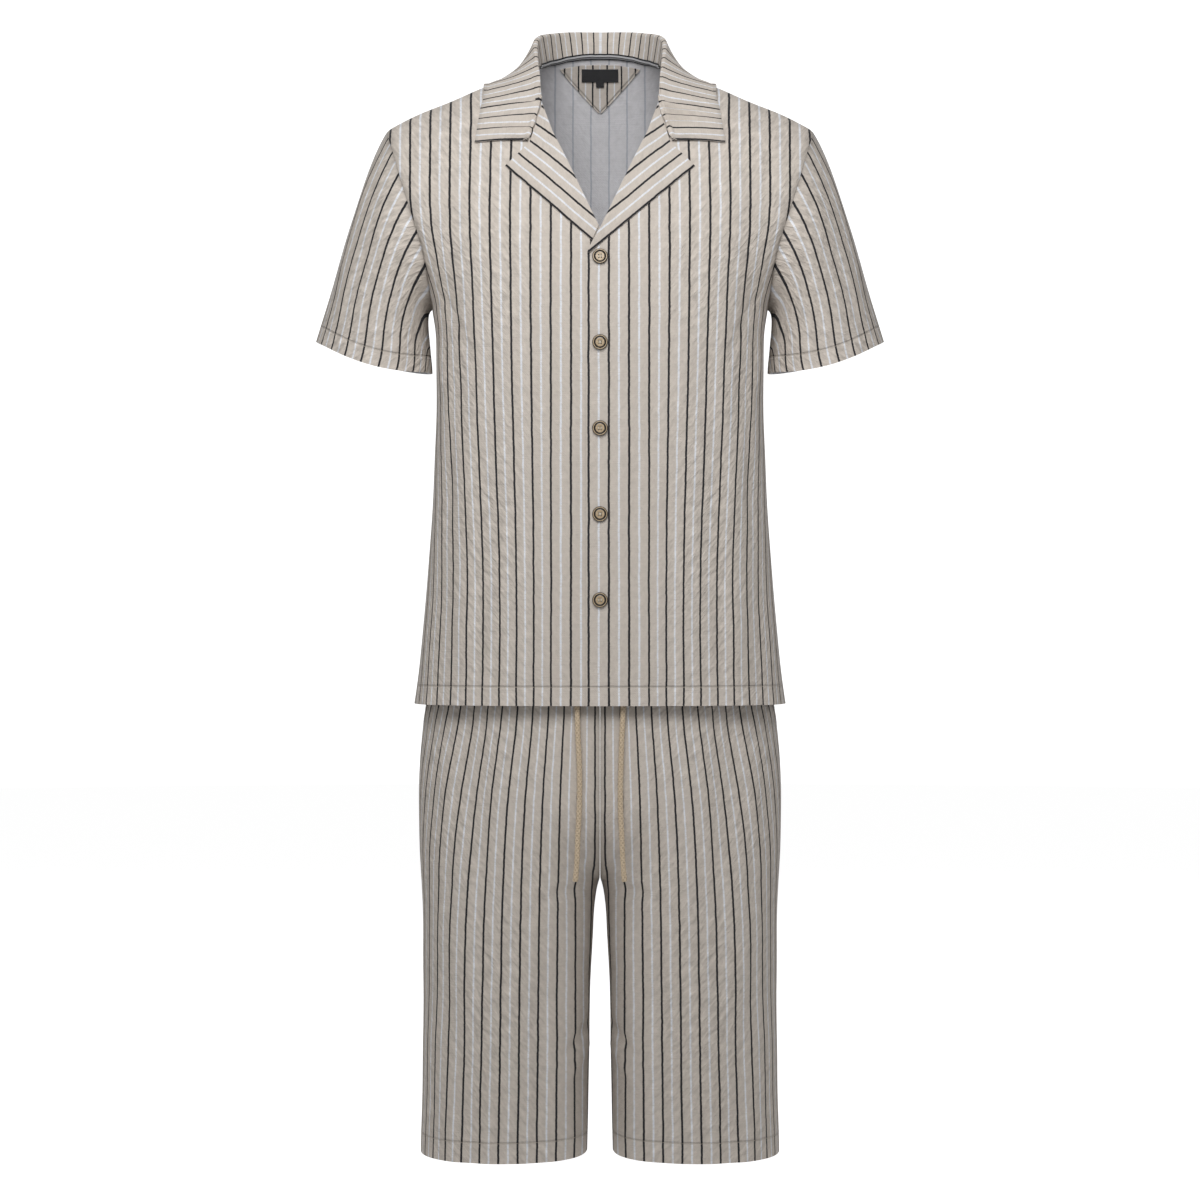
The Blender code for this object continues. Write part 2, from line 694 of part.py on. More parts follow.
def build_shirt_body():
    """Builds the fronts, the back and the sleeves, and returns search trees over their faces."""
    sleeve_points = sleeve_grid()
    rings, around = sleeve_points.shape[:2]
    flat = sleeve_points.reshape(-1, 3)
    faces = facing_out(flat, grid_faces(rings, around, wrap=True), flat.mean(axis=0))
    sleeve = {"points": flat, "normals": vertex_normals(flat, faces), "shape": sleeve_points.shape}
    fronts = {
        "shirt_front_left": shirt_half(-1, half_panel(-1, TOP_EDGE, FRONT_COLUMNS, OVERLAP_LIFT)),
        "shirt_front_right": shirt_half(-1, half_panel(-1, UNDER_EDGE, FRONT_COLUMNS)),
    }
    back = shirt_half(1, half_panel(1, 0.0, BACK_COLUMNS))
    shared, step = armhole_seam(fronts["shirt_front_right"], back, sleeve)
    front_rows = len(armhole_angles(-1))
    front_seam = shared[:front_rows]
    back_seam = np.concatenate([shared[:1], shared[front_rows:][::-1], shared[front_rows - 1 : front_rows]])
    surfaces, trees = [], {}
    for name, (points, panel_faces, normals, index) in fronts.items():
        normals[index[BELOW_ARMPIT_ROWS:, -1]] = front_seam
        if name.endswith("right"):
            points, normals, panel_faces = mirrored(points), mirrored(normals), flipped(panel_faces)
        trees[name] = wall_piece(name, points, panel_faces, normals, WALL, "striped_cloth")
        surfaces.append((points, panel_faces))
    points, panel_faces, normals, index = back
    normals[index[BELOW_ARMPIT_ROWS:, -1]] = back_seam
    outer, outer_faces, outer_normals = whole_back(points, panel_faces, normals)
    trees["shirt_back"] = wall_piece("shirt_back", outer, outer_faces, outer_normals, WALL, "striped_cloth")
    surfaces.append((outer, outer_faces))
    trees["body"] = joined_tree(surfaces)
    sleeve["normals"][:around] = shared
    flat[:around] += step * SEAM_GAP
    wall_piece("sleeve_left", flat, faces, sleeve["normals"], WALL, "striped_cloth")
    wall_piece(
        "sleeve_right", mirrored(flat), flipped(faces), mirrored(sleeve["normals"]), WALL, "striped_cloth"
    )
    return trees


def whole_back(points, faces, normals):
    """The half back joined with its mirror image along the centre."""
    count = len(points)
    both = np.concatenate([points, mirrored(points)])
    both_normals = np.concatenate([normals, mirrored(normals)])
    both_faces = np.concatenate([faces, flipped(faces) + count])
    centre = np.flatnonzero(np.abs(points[:, 0]) < 1e-7)
    swap = np.arange(2 * count)
    swap[centre + count] = centre
    both_normals[centre, 0] = 0.0
    both_normals = unit(both_normals)
    used = np.unique(swap)
    renumber = np.zeros(2 * count, dtype=int)
    renumber[used] = np.arange(len(used))
    return both[used], renumber[swap[both_faces]], both_normals[used]


# Collar, lapels and the pieces at the back neck


def neck_frame(share, tree):
    """A point of the neckline from the gorge (0) to the centre back (1), the cloth's normal there
    and the way across the neck edge."""
    front = [(x, z, -1) for x, z in ROLL_LINE[4:]]
    back = [(x, z, 1) for x, z in BACK_NECKLINE[::-1]][1:]
    line = np.array([(x, side * float(form_depth(x, z, side)), z) for x, z, side in front + back])
    here = spaced_along(line, [share])[0]
    ahead = spaced_along(line, [min(share + 0.02, 1.0)])[0]
    behind = spaced_along(line, [max(share - 0.02, 0.0)])[0]
    along = unit(ahead - behind)
    place_on, face_normal, _, _ = tree.find_nearest(Vector(here))
    normal = np.array(face_normal)
    normal = unit(normal - along * np.dot(normal, along))
    up = unit(np.cross(normal, along))
    if up[2] < 0:
        up = -up
    return np.array(place_on), normal, up


def collar_stations():
    """Crest and edge of each station, worked out from the table."""
    found = []
    for crest_x, crest_y, crest_z, edge_x, edge_z, side, _ in COLLAR_STATIONS:
        if crest_y is None:
            height = LAYER_GAP + 2 * ROLL_RADIUS_FRONT
            crest = on_cloth(crest_x, crest_z, -1, height - ROLL_RADIUS_FRONT)
        else:
            crest = np.array([crest_x, crest_y, crest_z])
        if side == 0:
            rise = LAYER_GAP + COLLAR_WALL
            edge = np.array([edge_x, 0.0, float(shoulder_height(edge_x)) + rise])
        else:
            edge = on_cloth(edge_x, edge_z, side, LAYER_GAP + COLLAR_WALL)
        found.append((crest, edge))
    return np.array(found)


def collar_lines(count, tree):
    """The crest, edge and seam lines all round, from one front end to the other."""
    half = collar_stations()
    whole = np.concatenate([half, mirrored(half[-2::-1])])
    shares = column(COLLAR_STATIONS, 6)
    shares = np.concatenate([shares, shares[-2::-1]])
    steps = np.linalg.norm(np.diff(whole[:, 0] + whole[:, 1], axis=0), axis=1)
    knots = np.concatenate([[0.0], np.cumsum(steps)])
    at = np.linspace(0.0, knots[-1], count + 1)
    lines = np.empty((count + 1, 3, 3))
    for which in range(2):
        for axis in range(3):
            lines[:, which, axis] = smooth_value(at, knots, whole[:, which, axis])
    for k, share in enumerate(smooth_value(at, knots, shares)):
        crest, edge = lines[k, :2]
        lines[k, 2] = crest + unit(edge - crest) * FRONT_STAND
        if share > 0.02:
            place_on, normal, up = neck_frame(float(share), tree)
            seam = place_on - normal * STAND_INSET + up * STAND_GAP
            lines[k, 2] = mirrored(seam) if crest[0] < 0 else seam
    return lines


def lifted_clear(grid, tree, wall, clearance):
    """A grid lifted off a surface until all its facets, a wall deeper, clear it."""
    moved = grid.copy()
    samples = [(a, b) for a in (0.0, 0.25, 0.5, 0.75, 1.0) for b in (0.0, 0.25, 0.5, 0.75, 1.0)]
    for _ in range(LIFT_PASSES):
        lift = np.zeros(grid.shape[:2])
        way = np.zeros(grid.shape)
        for r, c in np.ndindex(grid.shape[0] - 1, grid.shape[1] - 1):
            near, far = moved[r, c : c + 2], moved[r + 1, c : c + 2]
            for a, b in samples:
                side = near * (1 - a) + far * a
                point = Vector(side[0] * (1 - b) + side[1] * b)
                place_on, normal, _, _ = tree.find_nearest(point)
                short = wall + clearance - (point - place_on).dot(normal)
                for corner in ((r, c), (r, c + 1), (r + 1, c), (r + 1, c + 1)):
                    if short > lift[corner]:
                        lift[corner] = short
                        way[corner] = normal
        moved = moved + way * lift[..., None]
    return moved


def collar_section(crest, edge, seam, tangent, radius):
    """One section from the outer edge over the roll to the stand's seam."""
    down = unit(unit(edge - crest) + unit(seam - crest))
    down = unit(down - tangent * np.dot(down, tangent))
    outward = unit(np.cross(down, tangent))
    if np.dot(outward, unit(edge - crest) - unit(seam - crest)) < 0:
        outward = -outward
    centre = crest + down * radius
    fall_start = centre + outward * radius
    stand_start = centre - outward * radius
    t = np.linspace(0.0, 1.0, 40)[:, None]
    length = np.linalg.norm(edge - fall_start)
    bend = fall_start + (down * FALL_BEND + unit(edge - fall_start) * 0.3) * length
    fall = edge * (1 - t) ** 2 + 2 * bend * t * (1 - t) + fall_start * t**2
    fall = spaced_along(fall, np.linspace(0.0, 1.0, FALL_ROWS + 1))
    turn = np.linspace(0.0, math.pi, ROLL_ROWS + 1)[1:-1, None]
    roll = centre + outward * radius * np.cos(turn) - down * radius * np.sin(turn)
    share = np.linspace(0.0, 1.0, STAND_ROWS + 1)[:, None]
    stand = stand_start * (1 - share) + seam * share
    return np.concatenate([fall, roll, stand])


def build_collar(lines, tree):
    tangents = unit(np.gradient(lines[:, 0], axis=0))
    middle = COLLAR_COLUMNS / 2
    sections = []
    for k, (crest, edge, seam) in enumerate(lines):
        from_end = 1.0 - abs(k - middle) / middle
        radius = ROLL_RADIUS_FRONT + (ROLL_RADIUS_BACK - ROLL_RADIUS_FRONT) * smooth_step(0.2, 0.6, from_end)
        section = collar_section(crest, edge, seam, tangents[k], radius)
        section[0] = at_height(section[:1], tree, COLLAR_WALL + COLLAR_CLEAR)[0]
        sections.append(section)
    grid = np.array(sections)
    grid[:, : FALL_ROWS + 1] = lifted_clear(grid[:, : FALL_ROWS + 1], tree, COLLAR_WALL, COLLAR_CLEAR)
    for end in (slice(0, GORGE_COLUMNS), slice(-GORGE_COLUMNS, None)):
        grid[end] = lifted_clear(grid[end], tree, 0.0, COLLAR_CLEAR)
    points = grid.reshape(-1, 3)
    faces = grid_faces(*grid.shape[:2])
    normals = vertex_normals(points, faces)
    back_edge = (COLLAR_COLUMNS // 2) * grid.shape[1]
    if normals[back_edge + 1, 1] < 0:
        faces, normals = flipped(faces), -normals
    wall_piece("collar", points, faces, normals, COLLAR_WALL, "striped_cloth")


def lapel_grid(end, lift):
    """A lapel on its panel: rows from the roll line to the outer edge, columns from the bottom up."""
    roll = np.array(ROLL_LINE[:5])
    if end[0] < 0:
        roll = np.concatenate([[(end[0] - 0.0008, end[1] + 0.0040)], roll])
    steps = np.concatenate([[0.0], np.cumsum(np.linalg.norm(np.diff(roll, axis=0), axis=1))])
    up = np.linspace(0.02, 1.0, LAPEL_COLUMNS + 1)
    inner = np.stack([np.interp(up * steps[-1], steps, roll[:, k]) for k in range(2)], axis=1)
    along = np.linspace(0.0, 1.0, LAPEL_COLUMNS + 1)[:, None]
    outer = np.array(end) + (np.array(LAPEL_TIP) - np.array(end)) * along
    across = np.linspace(0.0, 1.0, LAPEL_ROWS + 1)
    top = np.array([roll[-1], GORGE_END, LAPEL_TIP])
    top = np.stack([np.interp(across, (0.0, 0.5, 1.0), top[:, k]) for k in range(2)], axis=1)
    grid = inner[None] * (1 - across)[:, None, None] + outer[None] * across[:, None, None]
    straight = inner[-1] * (1 - across)[:, None] + outer[-1] * across[:, None]
    share = np.linspace(0.0, 1.0, LAPEL_COLUMNS + 1)[None, :, None] ** 3
    grid = grid + (top - straight)[:, None, :] * share
    return on_cloth(grid[..., 0], grid[..., 1], -1, np.full(grid.shape[:2], LAYER_GAP + TRIM_WALL), lift)


def build_lapels(trees):
    for name, end, lift in (
        ("left", TOP_LAPEL_END, OVERLAP_LIFT),
        ("right", UNDER_LAPEL_END, 0.0),
    ):
        grid = lapel_grid(end, lift)
        faces = panel_surface(grid)[1]
        if name == "right":
            grid, faces = mirrored(grid), flipped(faces)
        front = trees[f"shirt_front_{name}"][0]
        grid = at_height(grid, front, LAPEL_CLEAR + TRIM_WALL)
        grid = lifted_clear(grid, front, TRIM_WALL, LAPEL_CLEAR)
        points = grid.reshape(-1, 3)
        wall_piece(f"lapel_{name}", points, faces, vertex_normals(points, faces), TRIM_WALL, "striped_cloth")


def lining_piece(name, grid, faces, tree, clearance, finish):
    """A thin piece laid on a face inside the neck. Returns the search trees over it."""
    points = at_height(grid.reshape(-1, 3), tree, clearance + TRIM_WALL)
    normals = vertex_normals(points, faces)
    if normals[:, 1].mean() > 0:
        faces, normals = flipped(faces), -normals
    return wall_piece(name, points, faces, normals, TRIM_WALL, finish)


def back_places(x, z):
    """Places on the back panel's outer face."""
    return np.stack([x, form_depth(x, z, 1), z], axis=-1)


def build_neck_pieces(lines, trees):
    neck = np.array(BACK_NECKLINE)
    across = np.linspace(-1.0, 1.0, 13)
    down = np.linspace(0.0, 1.0, 6)
    top_x = FACING_HALF_WIDTH * across
    top_z = np.interp(np.abs(top_x), neck[:, 0], neck[:, 1]) - TAPE_HALF_HEIGHT - FACING_BELOW_TAPE
    x = top_x[None] * (1.0 - FACING_POINT_SHARE * down[:, None])
    z = top_z[None] + (FACING_POINT_Z - top_z[None]) * down[:, None]
    back_inside = trees["shirt_back"][1]
    faces = grid_faces(*x.shape)
    on_facing, _ = lining_piece(
        "back_neck_facing", back_places(x, z), faces, back_inside, INSIDE_CLEAR, "striped_cloth"
    )
    build_label(on_facing)
    build_tape(lines, trees["body"], back_inside)


def build_label(tree):
    """The woven label and its tab in one piece: a strip of columns with a longer middle."""
    lines_x = np.array([-LABEL_HALF_WIDTH, -TAB_HALF_WIDTH, TAB_HALF_WIDTH, LABEL_HALF_WIDTH])
    lines_z = np.array([LABEL_TOP_Z, (LABEL_TOP_Z + LABEL_BOTTOM_Z) / 2, LABEL_BOTTOM_Z, TAB_BOTTOM_Z])
    x, z = np.meshgrid(lines_x, lines_z)
    columns = len(lines_x)
    faces = grid_faces(*x.shape)
    last_row = len(lines_z) - 2
    faces = faces[[f[0] // columns < last_row or f[0] % columns == 1 for f in faces]]
    used = np.unique(faces)
    renumber = np.zeros(x.size, dtype=int)
    renumber[used] = np.arange(len(used))
    points = back_places(x, z).reshape(-1, 3)[used]
    lining_piece("neck_label", points, renumber[faces], tree, LABEL_CLEAR, "woven_label")


def build_tape(lines, tree, back_inside):
    """The tape that covers the back neck seam, half on the back and half on the collar's stand."""
    rows = []
    for crest, _, seam in lines:
        if seam[1] < TAPE_FROM_Y:
            continue
        _, normal, _, _ = tree.find_nearest(Vector(seam))
        up = unit(crest - seam)
        low = seam - np.array([0.0, 0.0, TAPE_HALF_HEIGHT])
        low = at_height(low[None], back_inside, INSIDE_CLEAR + TRIM_WALL)[0]
        middle = seam - np.array(normal) * (TAPE_CLEAR + TRIM_WALL)
        rows.append([low, middle, middle + up * TAPE_HALF_HEIGHT])
    grid = np.array(rows)
    points = grid.reshape(-1, 3)
    faces = grid_faces(*grid.shape[:2])
    normals = vertex_normals(points, faces)
    if normals[len(points) // 2, 1] > 0:
        faces, normals = flipped(faces), -normals
    wall_piece("neck_tape", points, faces, normals, TRIM_WALL, "neck_tape")


# Buttons


def button_mesh():
    """A four-hole button lying on z = 0 with its dished face up."""
    dish = BUTTON_THICKNESS - BUTTON_DISH
    # radius, height
    profile = (
        (0.0, dish),
        (BUTTON_RADIUS - BUTTON_RIM - 0.0006, dish),
        (BUTTON_RADIUS - BUTTON_RIM, BUTTON_THICKNESS),
        (BUTTON_RADIUS - 0.0008, BUTTON_THICKNESS),
        (BUTTON_RADIUS, BUTTON_THICKNESS - 0.0010),
        (BUTTON_RADIUS - 0.0012, 0.0),
        (0.0, 0.0),
    )
    mesh = bpy.data.meshes.new("button_profile")
    corners = [(radius, 0.0, height) for radius, height in profile]
    mesh.from_pydata(corners, [(k, k + 1) for k in range(len(corners) - 1)], [])
    turned = bpy.data.objects.new("button_turned", mesh)
    screw = turned.modifiers.new("turn", "SCREW")
    screw.steps = screw.render_steps = 14
    screw.use_merge_vertices = True
    screw.merge_threshold = 0.00005
    holes = bmesh.new()
    for k in range(4):
        angle = math.pi / 4 + k * math.pi / 2
        at = Vector((math.cos(angle), math.sin(angle), 0.0)) * BUTTON_HOLE_SPREAD
        at.z = BUTTON_THICKNESS / 2
        bmesh.ops.create_cone(
            holes,
            cap_ends=True,
            segments=6,
            radius1=BUTTON_HOLE_RADIUS,
            radius2=BUTTON_HOLE_RADIUS,
            depth=BUTTON_THICKNESS * 2,
            matrix=Matrix.Translation(at),
        )
    hole_mesh = bpy.data.meshes.new("button_holes")
    holes.to_mesh(hole_mesh)
    holes.free()
    cutter = bpy.data.objects.new("button_holes", hole_mesh)
    cutter.hide_render = True
    cutter.display_type = "WIRE"
    cut = turned.modifiers.new("holes", "BOOLEAN")
    cut.object = cutter
    bpy.data.collections["cutters"].objects.link(cutter)
    bpy.data.collections["cutters"].objects.link(turned)
    graph = bpy.context.evaluated_depsgraph_get()
    made = bpy.data.meshes.new_from_object(turned.evaluated_get(graph))
    bpy.data.objects.remove(turned)
    bpy.data.objects.remove(cutter)
    return made


def build_buttons():
    mesh = button_mesh()
    for k in range(BUTTON_COUNT):
        z = BUTTON_FIRST_Z - k * BUTTON_SPACING
        at = on_cloth(0.0, z, -1, LAYER_GAP, OVERLAP_LIFT)
        out = unit(on_cloth(0.0, z, -1, 0.01, OVERLAP_LIFT) - at)
        up = Vector((0.0, 0.0, 1.0))
        facing = Vector(out)
        side = up.cross(facing).normalized()
        up = facing.cross(side)
        turn = Matrix((side, up, facing)).transposed().to_4x4()
        obj = place(bpy.data.objects.new(f"button_{k + 1}", mesh.copy()), "button_horn")
        obj.matrix_world = Matrix.Translation(Vector(at)) @ turn


# Shorts


def shorts_row(side, z, share_leg, columns):
    """One row of a shorts panel at +X, from its inner edge to the side seam."""
    half_width = float(read_table(SHORTS_SECTIONS, z, 1))
    depth = float(read_table(SHORTS_SECTIONS, z, side_index(side)))
    inside = float(read_table(INSIDE_LEG, z, 1))
    fine = np.linspace(0.0, 1.0, 240)
    x = HALF_GAP + (half_width - HALF_GAP) * (1.0 - (1.0 - fine) ** 3)
    y = depth * np.clip(1.0 - (x / half_width) ** PELVIS_POWER, 0.0, 1.0) ** (1.0 / PELVIS_POWER)
    pelvis = spaced_along(np.stack([x, y, x * 0.0], axis=1), np.linspace(0.0, 1.0, columns + 1))
    turn = np.pi * fine
    radius = (half_width - inside) / 2
    middle = (half_width + inside) / 2
    x = middle - radius * np.sign(np.cos(turn)) * np.abs(np.cos(turn)) ** (2.0 / LEG_POWER)
    y = depth * np.sin(turn) ** (2.0 / LEG_POWER)
    leg = spaced_along(np.stack([x, y, x * 0.0], axis=1), np.linspace(0.0, 1.0, columns + 1))
    across = smooth_step(0.0, RISE_REACH, np.linspace(0.0, 1.0, columns + 1))
    slow_share = smooth_step(LEG_FROM_Z, LEG_TO_Z, z)
    share = (share_leg * (1.0 - across) + slow_share * across)[:, None]
    row = pelvis * (1.0 - share) + leg * share
    panel = "front" if side < 0 else "back"
    sunk = folds_at(SHORTS_FOLDS, SHORTS_HEM_Z, panel, row[:, 0], np.full(columns + 1, z))
    row[:, 1] = side * np.maximum(row[:, 1] - sunk, HALF_GAP)
    row[:, 2] = z
    return row


def shorts_levels():
    """Each row's height and how far its section has turned from the hips into the leg."""
    levels = [(z, 0.0) for z in SHORTS_ROWS_ABOVE]
    for angle in np.radians(RISE_ANGLES):
        levels.append((RISE_TURN_Z + (CROTCH_Z - RISE_TURN_Z) * math.sin(angle), 1.0 - math.cos(angle)))
    return levels + [(z, 1.0) for z in SHORTS_ROWS_BELOW]


def build_shorts_panels():
    levels = shorts_levels()
    crotch = len(SHORTS_ROWS_ABOVE) + len(RISE_ANGLES) - 1
    for side, name in ((-1, "front"), (1, "back")):
        grid = np.array([shorts_row(side, z, share, SHORTS_COLUMNS) for z, share in levels])
        points = grid.reshape(-1, 3)
        faces = facing_out(points, grid_faces(*grid.shape[:2]), (0.09, 0.0, -0.9))
        normals = vertex_normals(points, faces)
        index = np.arange(len(points)).reshape(grid.shape[:2])
        level_normals(normals, index[:, -1], 1)
        level_normals(normals, index[:crotch, 0], 0)
        normals[index[crotch, 0]] = (0.0, 0.0, -1.0)
        level_normals(normals, index[crotch + 1 :, 0], 1)
        wall_piece(f"shorts_{name}_left", points, faces, normals, WALL, "striped_cloth")
        other_side = (mirrored(points), flipped(faces), mirrored(normals))
        wall_piece(f"shorts_{name}_right", *other_side, WALL, "striped_cloth")


def band_ring(z):
    half_width = float(read_table(SHORTS_SECTIONS, z, 1))
    turn = np.linspace(0.0, 2 * math.pi, 721)
    front = float(read_table(SHORTS_SECTIONS, z, 2))
    back = float(read_table(SHORTS_SECTIONS, z, 3))
    power = 2.0 / PELVIS_POWER
    x = half_width * np.sign(np.cos(turn)) * np.abs(np.cos(turn)) ** power
    depth = np.where(np.sin(turn) < 0, front, back)
    y = depth * np.sign(np.sin(turn)) * np.abs(np.sin(turn)) ** power
    ring = np.stack([x, y, np.full_like(x, z)], axis=1)
    return spaced_along(ring, np.linspace(0.0, 1.0, BAND_COLUMNS + 1))[:-1]


def build_waistband():
    heights = np.linspace(BAND_TOP_Z, SHORTS_TOP_Z + SEAM_GAP, 3)
    grid = np.array([band_ring(z) for z in heights])
    points = grid.reshape(-1, 3)
    faces = facing_out(points, grid_faces(*grid.shape[:2], wrap=True), points.mean(axis=0))
    normals = vertex_normals(points, faces)
    level_normals(normals, np.arange(len(points)), 2)
    wall_piece("waistband", points, faces, normals, WALL, "striped_cloth")


def band_front(x):
    """The y of the waistband's outer face at the eyelets' height."""
    half_width = float(read_table(SHORTS_SECTIONS, EYELET_Z, 1))
    depth = float(read_table(SHORTS_SECTIONS, EYELET_Z, 2))
    return -depth * (1.0 - (abs(x) / half_width) ** PELVIS_POWER) ** (1.0 / PELVIS_POWER)


def build_eyelet(name, x):
    # radius, height from the cloth
    profile = (
        (EYELET_HOLE, 0.0),
        (EYELET_HOLE, EYELET_THICKNESS),
        (EYELET_RADIUS - 0.0005, EYELET_THICKNESS),
        (EYELET_RADIUS, 0.0),
        (EYELET_HOLE, 0.0),
    )
    mesh = bpy.data.meshes.new(name)
    corners = [(radius, 0.0, height) for radius, height in profile[:-1]]
    mesh.from_pydata(corners, [(k, (k + 1) % len(corners)) for k in range(len(corners))], [])
    obj = place(bpy.data.objects.new(name, mesh), "eyelet_metal")
    screw = obj.modifiers.new("turn", "SCREW")
    screw.steps = screw.render_steps = 12
    screw.use_merge_vertices = True
    screw.merge_threshold = 0.00005
    obj.matrix_world = Matrix.Translation((x, band_front(x) - EYELET_CLEAR, EYELET_Z)) @ Matrix.Rotation(
        math.radians(90), 4, "X"
    )


def cord_route(which):
    """The cord's centre line: out of the eyelet, over a quarter turn, then down the front."""
    sign = 1.0 if which == "left" else -1.0
    start_y = band_front(EYELET_X) - CORD_START_GAP - CORD_STRAIGHT
    line = [(EYELET_X, start_y + CORD_STRAIGHT, EYELET_Z)]
    for angle in np.linspace(0.0, math.pi / 2, CORD_TURN_POINTS):
        y = start_y - CORD_TURN * math.sin(angle)
        z = EYELET_Z - CORD_TURN * (1.0 - math.cos(angle))
        line.append((EYELET_X, y, z))
    line = np.array(line + list(CORD_ROUTES[which]))
    steps = np.concatenate([[0.0], np.cumsum(np.linalg.norm(np.diff(line, axis=0), axis=1))])
    turn_end = CORD_TURN_POINTS
    at = np.concatenate([steps[:turn_end], np.linspace(steps[turn_end], steps[-1], CORD_POINTS)])
    route = np.stack([smooth_value(at, steps, line[:, k]) for k in range(3)], axis=1)
    return route * np.array([sign, 1.0, 1.0])


def build_drawstring(which):
    name = f"drawstring_{which}"
    curve = bpy.data.curves.new(name, "CURVE")
    curve.dimensions = "3D"
    curve.bevel_depth = CORD_RADIUS
    curve.bevel_resolution = 2
    curve.use_fill_caps = True
    route = cord_route(which)
    spline = curve.splines.new("POLY")
    spline.points.add(len(route) - 1)
    for point, at in zip(spline.points, route):
        point.co = (*at, 1.0)
    place(bpy.data.objects.new(name, curve), "drawstring_cotton")


def main():
    for obj in list(bpy.data.objects):
        bpy.data.objects.remove(obj)
    for name in ("lounge_set", "cutters"):
        collection = bpy.data.collections.new(name)
        bpy.context.scene.collection.children.link(collection)
    trees = build_shirt_body()
    neck_lines = collar_lines(COLLAR_COLUMNS, trees["body"])
    build_collar(neck_lines, trees["body"])
    build_lapels(trees)
    build_neck_pieces(neck_lines, trees)
    build_buttons()
    build_shorts_panels()
    build_waistband()
    for which, sign in (("left", 1.0), ("right", -1.0)):
        build_eyelet(f"eyelet_{which}", sign * EYELET_X)
        build_drawstring(which)


main()
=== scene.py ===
import math

import bmesh
import bpy
import numpy as np
from bpy.props import FloatProperty, FloatVectorProperty, PointerProperty
from mathutils import Matrix, Vector
from mathutils.bvhtree import BVHTree


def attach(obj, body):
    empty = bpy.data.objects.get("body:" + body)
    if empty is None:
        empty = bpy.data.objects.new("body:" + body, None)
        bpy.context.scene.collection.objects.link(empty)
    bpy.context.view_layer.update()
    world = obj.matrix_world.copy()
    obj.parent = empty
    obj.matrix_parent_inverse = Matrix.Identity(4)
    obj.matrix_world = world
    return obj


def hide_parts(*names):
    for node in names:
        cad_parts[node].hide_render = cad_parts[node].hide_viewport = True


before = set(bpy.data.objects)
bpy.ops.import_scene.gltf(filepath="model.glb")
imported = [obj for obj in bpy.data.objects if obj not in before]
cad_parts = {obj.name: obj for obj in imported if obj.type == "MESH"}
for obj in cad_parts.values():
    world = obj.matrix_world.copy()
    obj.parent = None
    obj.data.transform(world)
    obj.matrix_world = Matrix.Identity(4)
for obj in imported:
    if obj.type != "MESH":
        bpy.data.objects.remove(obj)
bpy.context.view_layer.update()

bl_info = {
    "name": "Lounge Set",
    "version": (1, 0, 0),
    "blender": (4, 5, 0),
    "location": "3D View > Sidebar > Lounge Set",
    "description": "Builds a striped camp-collar shirt worn over drawstring shorts, on its packed frame",
    "category": "Object",
}

ROOT = "root"

# Cloth and seams
WALL = 0.0015
TRIM_WALL = 0.0010
SEAM_GAP = 0.0003
HALF_GAP = SEAM_GAP / 2
LAYER_GAP = 0.0004
# Shirt body: the widest level, its corner roundness and the roundness over the shoulder
ARMPIT_Z = -0.262
SHIRT_HEM_Z = -0.6935
BODY_POWER = 3.0
SHOULDER_POWER = 2.4
BELOW_ARMPIT_ROWS = 11
ARMHOLE_STEPS = 11
BACK_NECK_ROWS = 6
# z, half width, front depth, back depth
SHIRT_SECTIONS = (
    (-0.700, 0.2045, 0.1215, 0.1185),
    (-0.658, 0.1986, 0.1212, 0.1165),
    (-0.592, 0.1920, 0.1210, 0.1120),
    (-0.526, 0.1865, 0.1208, 0.1085),
    (-0.460, 0.1820, 0.1212, 0.1080),
    (-0.394, 0.1798, 0.1220, 0.1100),
    (-0.333, 0.1790, 0.1225, 0.1140),
    (-0.290, 0.1796, 0.1228, 0.1170),
    (-0.262, 0.1840, 0.1222, 0.1190),
    (-0.200, 0.1840, 0.1180, 0.1230),
    (-0.150, 0.1840, 0.1110, 0.1250),
    (-0.100, 0.1840, 0.1010, 0.1250),
    (-0.050, 0.1840, 0.0860, 0.1220),
    (0.000, 0.1840, 0.0720, 0.1180),
    (0.040, 0.1840, 0.0650, 0.1160),
)
# The shoulder seam's height over x. Inside the neck it is the line that the form would reach.
# x, z
SHOULDER_LINE = (
    (0.0000, 0.0700),
    (0.0200, 0.0660),
    (0.0400, 0.0520),
    (0.0748, 0.0020),
    (0.1000, -0.0085),
    (0.1340, -0.0205),
    (0.1606, -0.0325),
    (0.1960, -0.0465),
    (0.2233, -0.0600),
    (0.2335, -0.0660),
)
# Armhole: an upright oval that leans with the body
ARMHOLE_CENTRE_Z = -0.164
ARMHOLE_HALF_HEIGHT = 0.098
ARMHOLE_HALF_DEPTH = 0.080
# z, x
ARMHOLE_LINE = (
    (-0.2620, 0.1840),
    (-0.2400, 0.1858),
    (-0.2020, 0.1920),
    (-0.1620, 0.2040),
    (-0.1250, 0.2156),
    (-0.0990, 0.2235),
    (-0.0750, 0.2312),
    (-0.0660, 0.2335),
)
# Front opening: the edge on top, the edge underneath, and the roll line up to the neck point
TOP_EDGE = 0.0149
UNDER_EDGE = 0.0200
OVERLAP_LIFT = 0.0021
LIFT_FROM, LIFT_TO = 0.026, 0.052
# x, z
ROLL_LINE = (
    (0.0000, -0.1855),
    (0.0140, -0.1558),
    (0.0303, -0.1208),
    (0.0504, -0.0783),
    (0.0617, -0.0460),
    (0.0700, -0.0200),
    (0.0748, 0.0020),
)
EDGE_CORNER_Z = -0.2135
# x, z
BACK_NECKLINE = (
    (0.0000, 0.0280),
    (0.0200, 0.0272),
    (0.0400, 0.0235),
    (0.0580, 0.0160),
    (0.0700, 0.0075),
    (0.0748, 0.0020),
)
